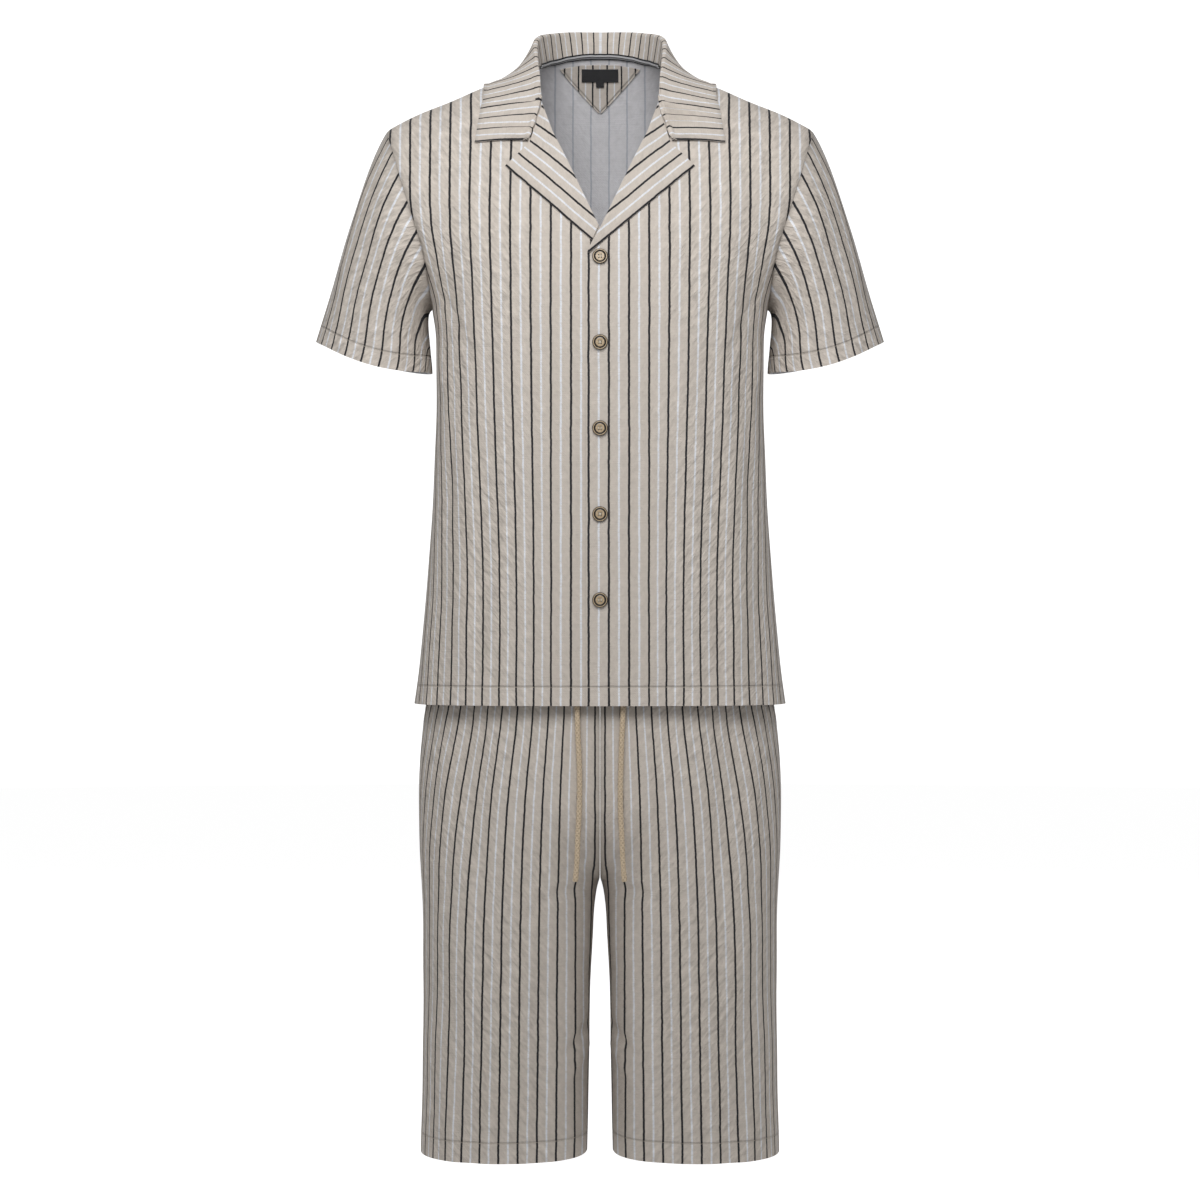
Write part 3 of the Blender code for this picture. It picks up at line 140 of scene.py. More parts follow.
# Largest folds of the shirt, each a soft upright trough
# panel, x at top, z at top, x at bottom, z at bottom, half width, depth
SHIRT_FOLDS = (
    ("front", 0.168, -0.135, 0.150, -0.420, 0.022, 0.0040),
    ("front", 0.118, -0.330, 0.128, -0.700, 0.024, 0.0030),
    ("front", 0.165, -0.430, 0.172, -0.705, 0.020, 0.0035),
    ("front", 0.070, -0.470, 0.078, -0.705, 0.022, 0.0018),
    ("back", 0.150, -0.130, 0.140, -0.450, 0.030, 0.0045),
    ("back", 0.095, -0.330, 0.105, -0.705, 0.030, 0.0040),
    ("back", 0.160, -0.450, 0.165, -0.705, 0.024, 0.0035),
)
FOLD_END = 0.070
# Sleeve
CUFF_CENTRE = (0.2480, -0.3145)
CUFF_HALF_WIDTH = 0.0660
CUFF_HALF_DEPTH = 0.0600
CUFF_TILT = math.radians(15.2)
CUFF_FRONT_DROP = 0.0120
CUFF_BACK_DROP = 0.0040
CAP_ANGLE = math.radians(62)
CAP_PULL, UNDERARM_PULL = 0.080, 0.012
# Collar
COLLAR_WALL = 0.0012
COLLAR_CLEAR = 0.0010
FRONT_STAND = 0.0050
FALL_BEND = 0.10
STAND_GAP = 0.0020
STAND_INSET = WALL + 0.0009
ROLL_RADIUS_FRONT = 0.0018
ROLL_RADIUS_BACK = 0.0032
# Half of the collar, from its front end to the centre back: the roll's crest (y is given only
# where the collar has left the chest), the outer edge (x, z and the side it lies on), and how far
# along the neckline the stand is sewn, from the gorge at 0 to the centre back at 1.
# crest x, y, z, edge x, z, side, neckline share
COLLAR_STATIONS = (
    (0.0776, None, -0.0882, 0.1345, -0.0892, -1, 0.00),
    (0.0704, None, -0.0677, 0.1318, -0.0685, -1, 0.00),
    (0.0634, None, -0.0445, 0.1295, -0.0510, -1, 0.00),
    (0.0640, -0.0440, -0.0200, 0.1262, -0.0350, -1, 0.20),
    (0.0683, -0.0190, 0.0110, 0.1240, -0.0200, 0, 0.38),
    (0.0695, 0.0120, 0.0390, 0.1040, -0.0220, 1, 0.56),
    (0.0460, 0.0510, 0.0520, 0.0600, -0.0170, 1, 0.78),
    (0.0000, 0.0700, 0.0560, 0.0000, -0.0120, 1, 1.00),
)
# Lapel corners on the chest: gorge end, notch tip, and where its outer edge ends
# x, z
GORGE_END = (0.0755, -0.0888)
LAPEL_TIP = (0.1015, -0.1160)
UNDER_LAPEL_END = (0.0085, -0.1985)
TOP_LAPEL_END = (-0.0122, -0.2128)
LAPEL_CLEAR = 0.0005
# Pieces inside the back neck
TAPE_HALF_HEIGHT = 0.0042
TAPE_FROM_Y = 0.012
TAPE_CLEAR = 0.0016
INSIDE_CLEAR = 0.0010
LABEL_CLEAR = 0.0006
FACING_BELOW_TAPE = 0.0028
FACING_HALF_WIDTH = 0.0465
FACING_POINT_Z = -0.0300
FACING_POINT_SHARE = 0.96
LABEL_HALF_WIDTH = 0.0214
LABEL_TOP_Z, LABEL_BOTTOM_Z = 0.0168, 0.0033
TAB_HALF_WIDTH, TAB_BOTTOM_Z = 0.0046, -0.0023
# Buttons
BUTTON_RADIUS = 0.00825
BUTTON_THICKNESS = 0.0030
BUTTON_RIM = 0.0022
BUTTON_DISH = 0.0008
BUTTON_HOLE_RADIUS = 0.0009
BUTTON_HOLE_SPREAD = 0.0019
BUTTON_FIRST_Z = -0.2160
BUTTON_SPACING = 0.0912
BUTTON_COUNT = 5
# Shorts
SHORTS_TOP_Z = -0.636
SHORTS_HEM_Z = -1.184
RISE_TURN_Z = -0.790
RISE_REACH = 0.45
LEG_FROM_Z, LEG_TO_Z = -0.780, -0.990
CROTCH_Z = -0.886
PELVIS_POWER = 2.6
LEG_POWER = 2.3
RISE_ANGLES = (0.0, 24.0, 46.0, 68.0, 90.0)
# z, half width, front depth, back depth
SHORTS_SECTIONS = (
    (-0.590, 0.1650, 0.0940, 0.1000),
    (-0.636, 0.1720, 0.0985, 0.1040),
    (-0.660, 0.1810, 0.1025, 0.1080),
    (-0.700, 0.1915, 0.1070, 0.1160),
    (-0.740, 0.1965, 0.1110, 0.1220),
    (-0.780, 0.1985, 0.1140, 0.1260),
    (-0.840, 0.1980, 0.1160, 0.1270),
    (-0.886, 0.1958, 0.1130, 0.1210),
    (-0.930, 0.1945, 0.1080, 0.1130),
    (-1.000, 0.1940, 0.1040, 0.1080),
    (-1.100, 0.1950, 0.1010, 0.1040),
    (-1.190, 0.1962, 0.0990, 0.1010),
)
# z, x of the inside leg
INSIDE_LEG = (
    (-1.190, 0.0140),
    (-1.087, 0.0120),
    (-1.000, 0.0105),
    (-0.955, 0.0083),
    (-0.911, 0.0058),
    (-0.895, 0.0030),
    (-0.886, 0.0004),
)
SHORTS_ROWS_ABOVE = (-0.636, -0.662, -0.698, -0.740)
SHORTS_ROWS_BELOW = (-0.897, -0.915, -0.950, -1.000, -1.055, -1.110, -1.150, -1.184)
# panel, x at top, z at top, x at bottom, z at bottom, half width, depth
SHORTS_FOLDS = (
    ("front", 0.062, -0.690, 0.070, -0.900, 0.022, 0.0030),
    ("front", 0.135, -0.700, 0.125, -1.000, 0.026, 0.0035),
    ("front", 0.060, -0.960, 0.066, -1.184, 0.024, 0.0030),
    ("front", 0.145, -1.020, 0.140, -1.184, 0.022, 0.0030),
    ("back", 0.070, -0.700, 0.080, -0.930, 0.026, 0.0035),
    ("back", 0.140, -0.760, 0.130, -1.050, 0.028, 0.0035),
    ("back", 0.075, -0.980, 0.080, -1.184, 0.026, 0.0035),
)
# Waistband and drawstring
BAND_TOP_Z = -0.594
BAND_COLUMNS = 36
EYELET_X, EYELET_Z = 0.0245, -0.615
EYELET_RADIUS, EYELET_HOLE, EYELET_THICKNESS = 0.0065, 0.0038, 0.0012
EYELET_CLEAR = 0.0012
CORD_RADIUS = 0.0030
CORD_TURN = 0.0120
CORD_STRAIGHT = 0.0024
CORD_START_GAP = 0.0012
CORD_TURN_POINTS = 6
CORD_POINTS = 16
# The hanging stretch of each cord
# x, y, z
CORD_ROUTES = {
    "left": (
        (0.0246, -0.1112, -0.6420),
        (0.0247, -0.1112, -0.6700),
        (0.0246, -0.1122, -0.6999),
        (0.0233, -0.1146, -0.7244),
        (0.0224, -0.1164, -0.7520),
        (0.0217, -0.1188, -0.7850),
        (0.0221, -0.1199, -0.8120),
        (0.0233, -0.1201, -0.8361),
        (0.0241, -0.1201, -0.8574),
        (0.0260, -0.1199, -0.8800),
    ),
    "right": (
        (0.0245, -0.1112, -0.6420),
        (0.0245, -0.1112, -0.6700),
        (0.0243, -0.1122, -0.6999),
        (0.0235, -0.1146, -0.7244),
        (0.0222, -0.1164, -0.7510),
        (0.0219, -0.1191, -0.7935),
        (0.0226, -0.1199, -0.8150),
        (0.0237, -0.1201, -0.8361),
        (0.0244, -0.1201, -0.8574),
        (0.0263, -0.1199, -0.8800),
    ),
}

# Finer counts than the solids', for the collar, lapels and cords
FALL_ROWS, ROLL_ROWS, STAND_ROWS = 14, 10, 4
COLLAR_COLUMNS = 132
GORGE_COLUMNS = 28
LIFT_PASSES = 4
LAPEL_ROWS, LAPEL_COLUMNS = 22, 60
LAPEL_PUFF = 0.0016
CORD_FINE_POINTS = 150
BAND_FINE_COLUMNS = 420
BAND_RIPPLE = 0.0007
GATHER_HEIGHT, GATHER_END_Z = 0.0011, -0.790
CROSSED_THREADS = (1, 3)
BUTTON_TURNS = (0.12, -0.05, 0.03, -0.08, 0.05)

# What each sheet was cut to before sewing: width, length and, where it isn't a rectangle, area
FRONT_CUT = (0.305, 0.770, 0.185)
BACK_CUT = (0.540, 0.780, 0.360)


def column(table, index):
    return np.array([row[index] for row in table], dtype=float)


def smooth_step(start, end, value):
    share = np.clip((value - start) / (end - start), 0.0, 1.0)
    return share * share * (3.0 - 2.0 * share)


def smooth_value(at, knots, values):
    """A value read from a table along cubic pieces."""
    at = np.clip(at, knots[0], knots[-1])
    slopes = np.gradient(values, knots)
    piece = np.clip(np.searchsorted(knots, at, side="right") - 1, 0, len(knots) - 2)
    width = knots[piece + 1] - knots[piece]
    t = (at - knots[piece]) / width
    return (
        values[piece] * (2 * t**3 - 3 * t**2 + 1)
        + values[piece + 1] * (3 * t**2 - 2 * t**3)
        + slopes[piece] * width * (t**3 - 2 * t**2 + t)
        + slopes[piece + 1] * width * (t**3 - t**2)
    )


def read_table(table, at, index):
    rows = sorted(table)
    return smooth_value(at, column(rows, 0), column(rows, index))


def unit(vectors):
    vectors = np.asarray(vectors, dtype=float)
    length = np.linalg.norm(vectors, axis=-1, keepdims=True)
    return vectors / np.maximum(length, 1e-12)


def spaced_along(points, shares):
    """Points at the given shares of a line's length."""
    steps = np.linalg.norm(np.diff(points, axis=0), axis=1)
    travelled = np.concatenate([[0.0], np.cumsum(steps)])
    at = np.asarray(shares) * travelled[-1]
    return np.stack([np.interp(at, travelled, points[:, k]) for k in range(3)], axis=1)


def folds_at(folds, hem_z, panel, x, z):
    """How far the cloth sinks in the panel's folds. A fold that ends above the hem runs out."""
    sunk = np.zeros(np.broadcast(x, z).shape)
    for where, x_top, z_top, x_bottom, z_bottom, half_width, depth in folds:
        if where != panel:
            continue
        down = np.clip((z_top - z) / (z_top - z_bottom), 0.0, 1.0)
        across = (np.abs(x) - (x_top + (x_bottom - x_top) * down)) / half_width
        ends = smooth_step(z_top + FOLD_END / 2, z_top - FOLD_END / 2, z)
        if z_bottom > hem_z:
            ends = ends * smooth_step(z_bottom - FOLD_END / 2, z_bottom + FOLD_END / 2, z)
        sunk += depth * ends * np.cos(np.clip(across, -1.0, 1.0) * math.pi / 2) ** 2
    return sunk


def shoulder_height(x):
    return read_table(SHOULDER_LINE, np.abs(x), 1)


def armhole_point(angle):
    """A point of the armhole, from the shoulder at 0 to the armpit at pi; y is its depth."""
    z = ARMHOLE_CENTRE_Z + ARMHOLE_HALF_HEIGHT * np.cos(angle)
    y = ARMHOLE_HALF_DEPTH * np.sin(angle)
    return read_table(ARMHOLE_LINE, z, 1), y, z


def rise_share(x, z):
    """How far a point has risen from the armpit's level to the shoulder seam, 0 to 1."""
    return np.clip((z - ARMPIT_Z) / (shoulder_height(x) - ARMPIT_Z), 0.0, 1.0)


def shoulder_round(share):
    return (1.0 - np.clip(share, 0.0, 1.0) ** SHOULDER_POWER) ** (1.0 / SHOULDER_POWER)


def side_index(side):
    return 2 if side < 0 else 3


def upper_half_widths(side):
    """The form's half width over the rise share, chosen so that it passes through the armhole."""
    x, y, z = armhole_point(np.linspace(math.pi, 0.0, 181))
    share = rise_share(x, z)
    depth = read_table(SHIRT_SECTIONS, z, side_index(side)) * shoulder_round(share)
    reach = np.clip(y / np.maximum(depth, 1e-6), 0.0, 0.97)
    return share, x / (1.0 - reach**BODY_POWER) ** (1.0 / BODY_POWER)


HALF_WIDTHS = {side: upper_half_widths(side) for side in (-1, 1)}


def form_half_width(x, z, side):
    share = rise_share(x, z)
    upper = np.interp(share, *HALF_WIDTHS[side])
    return np.where(share > 0.0, upper, read_table(SHIRT_SECTIONS, z, 1))


def form_depth(x, z, side):
    """The shirt's depth from the side seams' plane, at the front (side -1) or the back (side 1)."""
    half_width = form_half_width(x, z, side)
    inside = np.clip(1.0 - (np.abs(x) / half_width) ** BODY_POWER, 0.0, 1.0)
    depth = read_table(SHIRT_SECTIONS, z, side_index(side)) * inside ** (1.0 / BODY_POWER)
    return depth * shoulder_round(rise_share(x, z))


def cloth_depth(x, z, side, lift=0.0):
    """The form's depth with the folds and, on the overlap, its lift."""
    panel = "front" if side < 0 else "back"
    depth = form_depth(x, z, side)
    sunk = folds_at(SHIRT_FOLDS, SHIRT_HEM_Z, panel, x, z)
    lifted = lift * (1.0 - smooth_step(LIFT_FROM, LIFT_TO, x)) * smooth_step(-0.135, -0.175, z)
    return np.maximum(depth - sunk, 0.0) + lifted


def on_cloth(x, z, side, out, lift=0.0):
    """A point moved out along the cloth's normal; x is measured towards the panel's own side."""
    x, z = np.broadcast_arrays(np.asarray(x, dtype=float), np.asarray(z, dtype=float))
    nudge = 0.0005
    depth = cloth_depth(x, z, side, lift)
    slope_x = (cloth_depth(x + nudge, z, side, lift) - cloth_depth(x - nudge, z, side, lift)) / (2 * nudge)
    slope_z = (cloth_depth(x, z + nudge, side, lift) - cloth_depth(x, z - nudge, side, lift)) / (2 * nudge)
    slope_x = np.clip(slope_x, -4.0, 4.0)
    slope_z = np.clip(slope_z, -4.0, 4.0)
    normal = unit(np.stack([-slope_x, side * np.ones_like(x), -slope_z], axis=-1))
    return np.stack([x, side * depth, z], axis=-1) + normal * np.asarray(out)[..., None]


def grid_faces(rows, columns, wrap=False):
    faces = []
    for r in range(rows - 1):
        for c in range(columns if wrap else columns - 1):
            near = r * columns + c
            far = r * columns + (c + 1) % columns
            faces.append((near, far, far + columns, near + columns))
    return np.array(faces)


def vertex_normals(points, faces):
    corners = points[faces]
    turned = np.cross(corners[:, 2] - corners[:, 0], corners[:, 3] - corners[:, 1])
    normals = np.zeros_like(points)
    for k in range(4):
        np.add.at(normals, faces[:, k], turned)
    return unit(normals)


def flipped(faces):
    """The same quads looking the other way, with the same diagonals."""
    return faces[:, [0, 3, 2, 1]]


def at_height(points, tree, height):
    """The points moved so that they lie the given height above a surface."""
    moved = points.copy()
    for at in np.ndindex(points.shape[:-1]):
        place_on, normal, _, _ = tree.find_nearest(Vector(points[at]))
        moved[at] += np.array(normal) * (height - (Vector(points[at]) - place_on).dot(normal))
    return moved


def mirrored(points):
    return points * np.array([-1.0, 1.0, 1.0])


def armhole_angles(side):
    """Angles of the rows that end on the armhole: even round it, then through the neck's corner.

    The back's rows above that corner are spaced evenly along its neckline.
    """
    angles = np.linspace(math.pi, 0.0, ARMHOLE_STEPS + 1)
    dense = np.linspace(math.pi, 0.0, 721)
    x, _, z = armhole_point(dense)
    shares = rise_share(x, z)
    if side < 0:
        angles = np.insert(angles, ARMHOLE_STEPS, angles[-2] / 2)
        wanted = np.interp(rise_share(TOP_EDGE, EDGE_CORNER_Z), shares, dense)
        nearest = 1 + np.argmin(np.abs(angles[1:-1] - wanted))
        angles[nearest] = wanted
        return angles
    neck_shares, neck_x = neckline(1, 0.0)
    neck_z = ARMPIT_Z + (shoulder_height(neck_x) - ARMPIT_Z) * neck_shares
    line = np.stack([neck_x, form_depth(neck_x, neck_z, 1), neck_z], axis=1)
    even = spaced_along(line, np.linspace(0.0, 1.0, BACK_NECK_ROWS + 1))
    neck_angles = np.interp(rise_share(even[:, 0], even[:, 2]), shares, dense)
    neck_angles[-1] = 0.0
    below = angles[angles > neck_angles[0] + 0.4 * (angles[0] - angles[1])]
    return np.concatenate([below, neck_angles])


def neckline(side, edge):
    """The inner edge of a half panel above the armpit: rise shares and x."""
    if side > 0:
        line = np.array(BACK_NECKLINE)
    else:
        corner = (-edge, EDGE_CORNER_Z - (edge - TOP_EDGE) * 1.9)
        line = np.array((corner,) + ROLL_LINE)
    fine = np.linspace(0, len(line) - 1, 400)
    x = np.interp(fine, np.arange(len(line)), line[:, 0])
    z = np.interp(fine, np.arange(len(line)), line[:, 1])
    return rise_share(x, z), x


def sleeve_line(angle, side, count):
    """Points from the armhole to the cuff at one angle."""
    x, y, z = armhole_point(angle)
    start = np.array([float(x), side * float(y), float(z)])
    low = (1.0 - math.cos(angle)) / 2.0
    along = np.array([math.cos(CUFF_TILT), 0.0, math.sin(CUFF_TILT)])
    drop = CUFF_FRONT_DROP if side < 0 else CUFF_BACK_DROP
    end = np.array([CUFF_CENTRE[0], 0.0, CUFF_CENTRE[1]]) + along * CUFF_HALF_WIDTH * math.cos(angle)
    end += np.array([0.0, side * CUFF_HALF_DEPTH * math.sin(angle), -drop * math.sin(angle) ** 2])
    slant = CAP_ANGLE * (1.0 - low**3)
    leave = np.array([math.cos(slant), side * 0.12 * math.sin(angle), -math.sin(slant)])
    pull = UNDERARM_PULL + (CAP_PULL - UNDERARM_PULL) * (1.0 - low)
    lean = math.radians(18.0) * (1.0 - low)
    arrive = np.array([math.sin(lean), 0.0, -math.cos(lean)])
    reach = 0.36 * np.linalg.norm(end - start)
    t = np.linspace(0.0, 1.0, 60)[:, None]
    first, last = start + leave * pull, end - arrive * reach
    line = (
        start * (1 - t) ** 3
        + 3 * first * t * (1 - t) ** 2
        + 3 * last * t**2 * (1 - t)
        + end * t**3
    )
    return spaced_along(line, np.linspace(0.0, 1.0, count + 1))


def sleeve_grid():
    """Rings from the armhole to the cuff; columns run from the armpit over the front to the back."""
    front, back = armhole_angles(-1), armhole_angles(1)
    lines = [sleeve_line(a, -1, SLEEVE_RINGS) for a in front]
    lines += [sleeve_line(a, 1, SLEEVE_RINGS) for a in back[-2:0:-1]]
    return np.stack(lines, axis=1)


def neck_frame(share, tree):
    """A point of the neckline from the gorge (0) to the centre back (1), the cloth's normal there
    and the way across the neck edge."""
    front = [(x, z, -1) for x, z in ROLL_LINE[4:]]
    back = [(x, z, 1) for x, z in BACK_NECKLINE[::-1]][1:]
    line = np.array([(x, side * float(form_depth(x, z, side)), z) for x, z, side in front + back])
    here = spaced_along(line, [share])[0]
    ahead = spaced_along(line, [min(share + 0.02, 1.0)])[0]
    behind = spaced_along(line, [max(share - 0.02, 0.0)])[0]
    along = unit(ahead - behind)
    place_on, face_normal, _, _ = tree.find_nearest(Vector(here))
    normal = np.array(face_normal)
    normal = unit(normal - along * np.dot(normal, along))
    up = unit(np.cross(normal, along))
    if up[2] < 0:
        up = -up
    return np.array(place_on), normal, up


def collar_stations():
    """Crest and edge of each station, worked out from the table."""
    found = []
    for crest_x, crest_y, crest_z, edge_x, edge_z, side, _ in COLLAR_STATIONS:
        if crest_y is None:
            height = LAYER_GAP + 2 * ROLL_RADIUS_FRONT
            crest = on_cloth(crest_x, crest_z, -1, height - ROLL_RADIUS_FRONT)
        else:
            crest = np.array([crest_x, crest_y, crest_z])
        if side == 0:
            rise = LAYER_GAP + COLLAR_WALL
            edge = np.array([edge_x, 0.0, float(shoulder_height(edge_x)) + rise])
        else:
            edge = on_cloth(edge_x, edge_z, side, LAYER_GAP + COLLAR_WALL)
        found.append((crest, edge))
    return np.array(found)


def collar_lines(count, tree):
    """The crest, edge and seam lines all round, from one front end to the other."""
    half = collar_stations()
    whole = np.concatenate([half, mirrored(half[-2::-1])])
    shares = column(COLLAR_STATIONS, 6)
    shares = np.concatenate([shares, 2.0 - shares[-2::-1]])
    steps = np.linalg.norm(np.diff(whole[:, 0] + whole[:, 1], axis=0), axis=1)
    knots = np.concatenate([[0.0], np.cumsum(steps)])
    at = np.linspace(0.0, knots[-1], count + 1)
    lines = np.empty((count + 1, 3, 3))
    for which in range(2):
        for axis in range(3):
            lines[:, which, axis] = smooth_value(at, knots, whole[:, which, axis])
    for k, share in enumerate(smooth_value(at, knots, shares)):
        crest, edge = lines[k, :2]
        lines[k, 2] = crest + unit(edge - crest) * FRONT_STAND
        half_share = min(share, 2.0 - share)
        if half_share > 0.02:
            place_on, normal, up = neck_frame(float(half_share), tree)
            seam = place_on - normal * STAND_INSET + up * STAND_GAP
            lines[k, 2] = mirrored(seam) if share > 1.0 else seam
    return lines


def lifted_clear(grid, tree, wall, clearance):
    """A grid lifted off a surface until all its facets, a wall deeper, clear it."""
    moved = grid.copy()
    samples = [(a, b) for a in (0.0, 0.25, 0.5, 0.75, 1.0) for b in (0.0, 0.25, 0.5, 0.75, 1.0)]
    for _ in range(LIFT_PASSES):
        lift = np.zeros(grid.shape[:2])
        way = np.zeros(grid.shape)
        for r, c in np.ndindex(grid.shape[0] - 1, grid.shape[1] - 1):
            near, far = moved[r, c : c + 2], moved[r + 1, c : c + 2]
            for a, b in samples:
                side = near * (1 - a) + far * a
                point = Vector(side[0] * (1 - b) + side[1] * b)
                place_on, normal, _, _ = tree.find_nearest(point)
                short = wall + clearance - (point - place_on).dot(normal)
                for corner in ((r, c), (r, c + 1), (r + 1, c), (r + 1, c + 1)):
                    if short > lift[corner]:
                        lift[corner] = short
                        way[corner] = normal
        moved = moved + way * lift[..., None]
    return moved


def collar_section(crest, edge, seam, tangent, radius):
    """One section from the outer edge over the roll to the stand's seam."""
    down = unit(unit(edge - crest) + unit(seam - crest))
    down = unit(down - tangent * np.dot(down, tangent))
    outward = unit(np.cross(down, tangent))
    if np.dot(outward, unit(edge - crest) - unit(seam - crest)) < 0:
        outward = -outward
    centre = crest + down * radius
    fall_start = centre + outward * radius
    stand_start = centre - outward * radius
    t = np.linspace(0.0, 1.0, 40)[:, None]
    length = np.linalg.norm(edge - fall_start)
    bend = fall_start + (down * FALL_BEND + unit(edge - fall_start) * 0.3) * length
    fall = edge * (1 - t) ** 2 + 2 * bend * t * (1 - t) + fall_start * t**2
    fall = spaced_along(fall, np.linspace(0.0, 1.0, FALL_ROWS + 1))
    turn = np.linspace(0.0, math.pi, ROLL_ROWS + 1)[1:-1, None]
    roll = centre + outward * radius * np.cos(turn) - down * radius * np.sin(turn)
    share = np.linspace(0.0, 1.0, STAND_ROWS + 1)[:, None]
    stand = stand_start * (1 - share) + seam * share
    return np.concatenate([fall, roll, stand])


def lapel_grid(end, lift):
    """A lapel on its panel: rows from the roll line to the outer edge, columns from the bottom up."""
    roll = np.array(ROLL_LINE[:5])
    if end[0] < 0:
        roll = np.concatenate([[(end[0] - 0.0008, end[1] + 0.0040)], roll])
    steps = np.concatenate([[0.0], np.cumsum(np.linalg.norm(np.diff(roll, axis=0), axis=1))])
    up = np.linspace(0.02, 1.0, LAPEL_COLUMNS + 1)
    inner = np.stack([np.interp(up * steps[-1], steps, roll[:, k]) for k in range(2)], axis=1)
    outer = np.array(end) + (np.array(LAPEL_TIP) - np.array(end)) * np.linspace(0.0, 1.0, LAPEL_COLUMNS + 1)[:, None]
    across = np.linspace(0.0, 1.0, LAPEL_ROWS + 1)
    top = np.array([roll[-1], GORGE_END, LAPEL_TIP])
    top = np.stack([np.interp(across, (0.0, 0.5, 1.0), top[:, k]) for k in range(2)], axis=1)
    grid = inner[None] * (1 - across)[:, None, None] + outer[None] * across[:, None, None]
    straight = inner[-1] * (1 - across)[:, None] + outer[-1] * across[:, None]
    share = np.linspace(0.0, 1.0, LAPEL_COLUMNS + 1)[None, :, None] ** 3
    grid = grid + (top - straight)[:, None, :] * share
    return on_cloth(grid[..., 0], grid[..., 1], -1, np.full(grid.shape[:2], LAYER_GAP + TRIM_WALL), lift)


def back_places(x, z):
    """Places on the back panel's outer face."""
    return np.stack([x, form_depth(x, z, 1), z], axis=-1)


def shorts_row(side, z, share_leg, columns):
    """One row of a shorts panel at +X, from its inner edge to the side seam."""
    half_width = float(read_table(SHORTS_SECTIONS, z, 1))
    depth = float(read_table(SHORTS_SECTIONS, z, side_index(side)))
    inside = float(read_table(INSIDE_LEG, z, 1))
    fine = np.linspace(0.0, 1.0, 240)
    x = HALF_GAP + (half_width - HALF_GAP) * (1.0 - (1.0 - fine) ** 3)
    y = depth * np.clip(1.0 - (x / half_width) ** PELVIS_POWER, 0.0, 1.0) ** (1.0 / PELVIS_POWER)
    pelvis = spaced_along(np.stack([x, y, x * 0.0], axis=1), np.linspace(0.0, 1.0, columns + 1))
    turn = np.pi * fine
    radius = (half_width - inside) / 2
    middle = (half_width + inside) / 2
    x = middle - radius * np.sign(np.cos(turn)) * np.abs(np.cos(turn)) ** (2.0 / LEG_POWER)
    y = depth * np.sin(turn) ** (2.0 / LEG_POWER)
    leg = spaced_along(np.stack([x, y, x * 0.0], axis=1), np.linspace(0.0, 1.0, columns + 1))
    across = smooth_step(0.0, RISE_REACH, np.linspace(0.0, 1.0, columns + 1))
    slow_share = smooth_step(LEG_FROM_Z, LEG_TO_Z, z)
    share = (share_leg * (1.0 - across) + slow_share * across)[:, None]
    row = pelvis * (1.0 - share) + leg * share
    panel = "front" if side < 0 else "back"
    sunk = folds_at(SHORTS_FOLDS, SHORTS_HEM_Z, panel, row[:, 0], np.full(columns + 1, z))
    row[:, 1] = side * np.maximum(row[:, 1] - sunk, HALF_GAP)
    row[:, 2] = z
    return row


def band_ring(z):
    half_width = float(read_table(SHORTS_SECTIONS, z, 1))
    turn = np.linspace(0.0, 2 * math.pi, 721)
    front = float(read_table(SHORTS_SECTIONS, z, 2))
    back = float(read_table(SHORTS_SECTIONS, z, 3))
    power = 2.0 / PELVIS_POWER
    x = half_width * np.sign(np.cos(turn)) * np.abs(np.cos(turn)) ** power
    depth = np.where(np.sin(turn) < 0, front, back)
    y = depth * np.sign(np.sin(turn)) * np.abs(np.sin(turn)) ** power
    ring = np.stack([x, y, np.full_like(x, z)], axis=1)
    return spaced_along(ring, np.linspace(0.0, 1.0, BAND_COLUMNS + 1))[:-1]


def band_front(x):
    """The y of the waistband's outer face at the eyelets' height."""
    half_width = float(read_table(SHORTS_SECTIONS, EYELET_Z, 1))
    depth = float(read_table(SHORTS_SECTIONS, EYELET_Z, 2))
    return -depth * (1.0 - (abs(x) / half_width) ** PELVIS_POWER) ** (1.0 / PELVIS_POWER)


def cord_route(which):
    """The cord's centre line: out of the eyelet, over a quarter turn, then down the front."""
    sign = 1.0 if which == "left" else -1.0
    start_y = band_front(EYELET_X) - CORD_START_GAP - CORD_STRAIGHT
    line = [(EYELET_X, start_y + CORD_STRAIGHT, EYELET_Z)]
    for angle in np.linspace(0.0, math.pi / 2, CORD_TURN_POINTS):
        y = start_y - CORD_TURN * math.sin(angle)
        z = EYELET_Z - CORD_TURN * (1.0 - math.cos(angle))
        line.append((EYELET_X, y, z))
    line = np.array(line + list(CORD_ROUTES[which]))
    steps = np.concatenate([[0.0], np.cumsum(np.linalg.norm(np.diff(line, axis=0), axis=1))])
    turn_end = CORD_TURN_POINTS
    at = np.concatenate([steps[:turn_end], np.linspace(steps[turn_end], steps[-1], CORD_POINTS)])
    route = np.stack([smooth_value(at, steps, line[:, k]) for k in range(3)], axis=1)
    return route * np.array([sign, 1.0, 1.0])


# Finer cloth than the solids carry


LEVELS_BELOW = 84
ROWS_BETWEEN = 5
FINE_COLUMNS = 62
EDGE_SHARES = (0.004, 0.012, 0.988, 0.996)
SLEEVE_FINE_RINGS = 52
SHORTS_FINE_COLUMNS = 72
SEAM_SINK = 0.0006
SEAM_REACH = 0.0035
HEM_DEPTH = {"shirt": 0.0200, "sleeve": 0.0175, "leg": 0.0220}
STITCH_FAR = 1.0
# The seam mark is painted shade near the cloth's seams and edges; on the label it marks the border, painted lighter.
MARK_NAMES = ("stripe", "up", "across", "stitch", "crinkle", "seam")

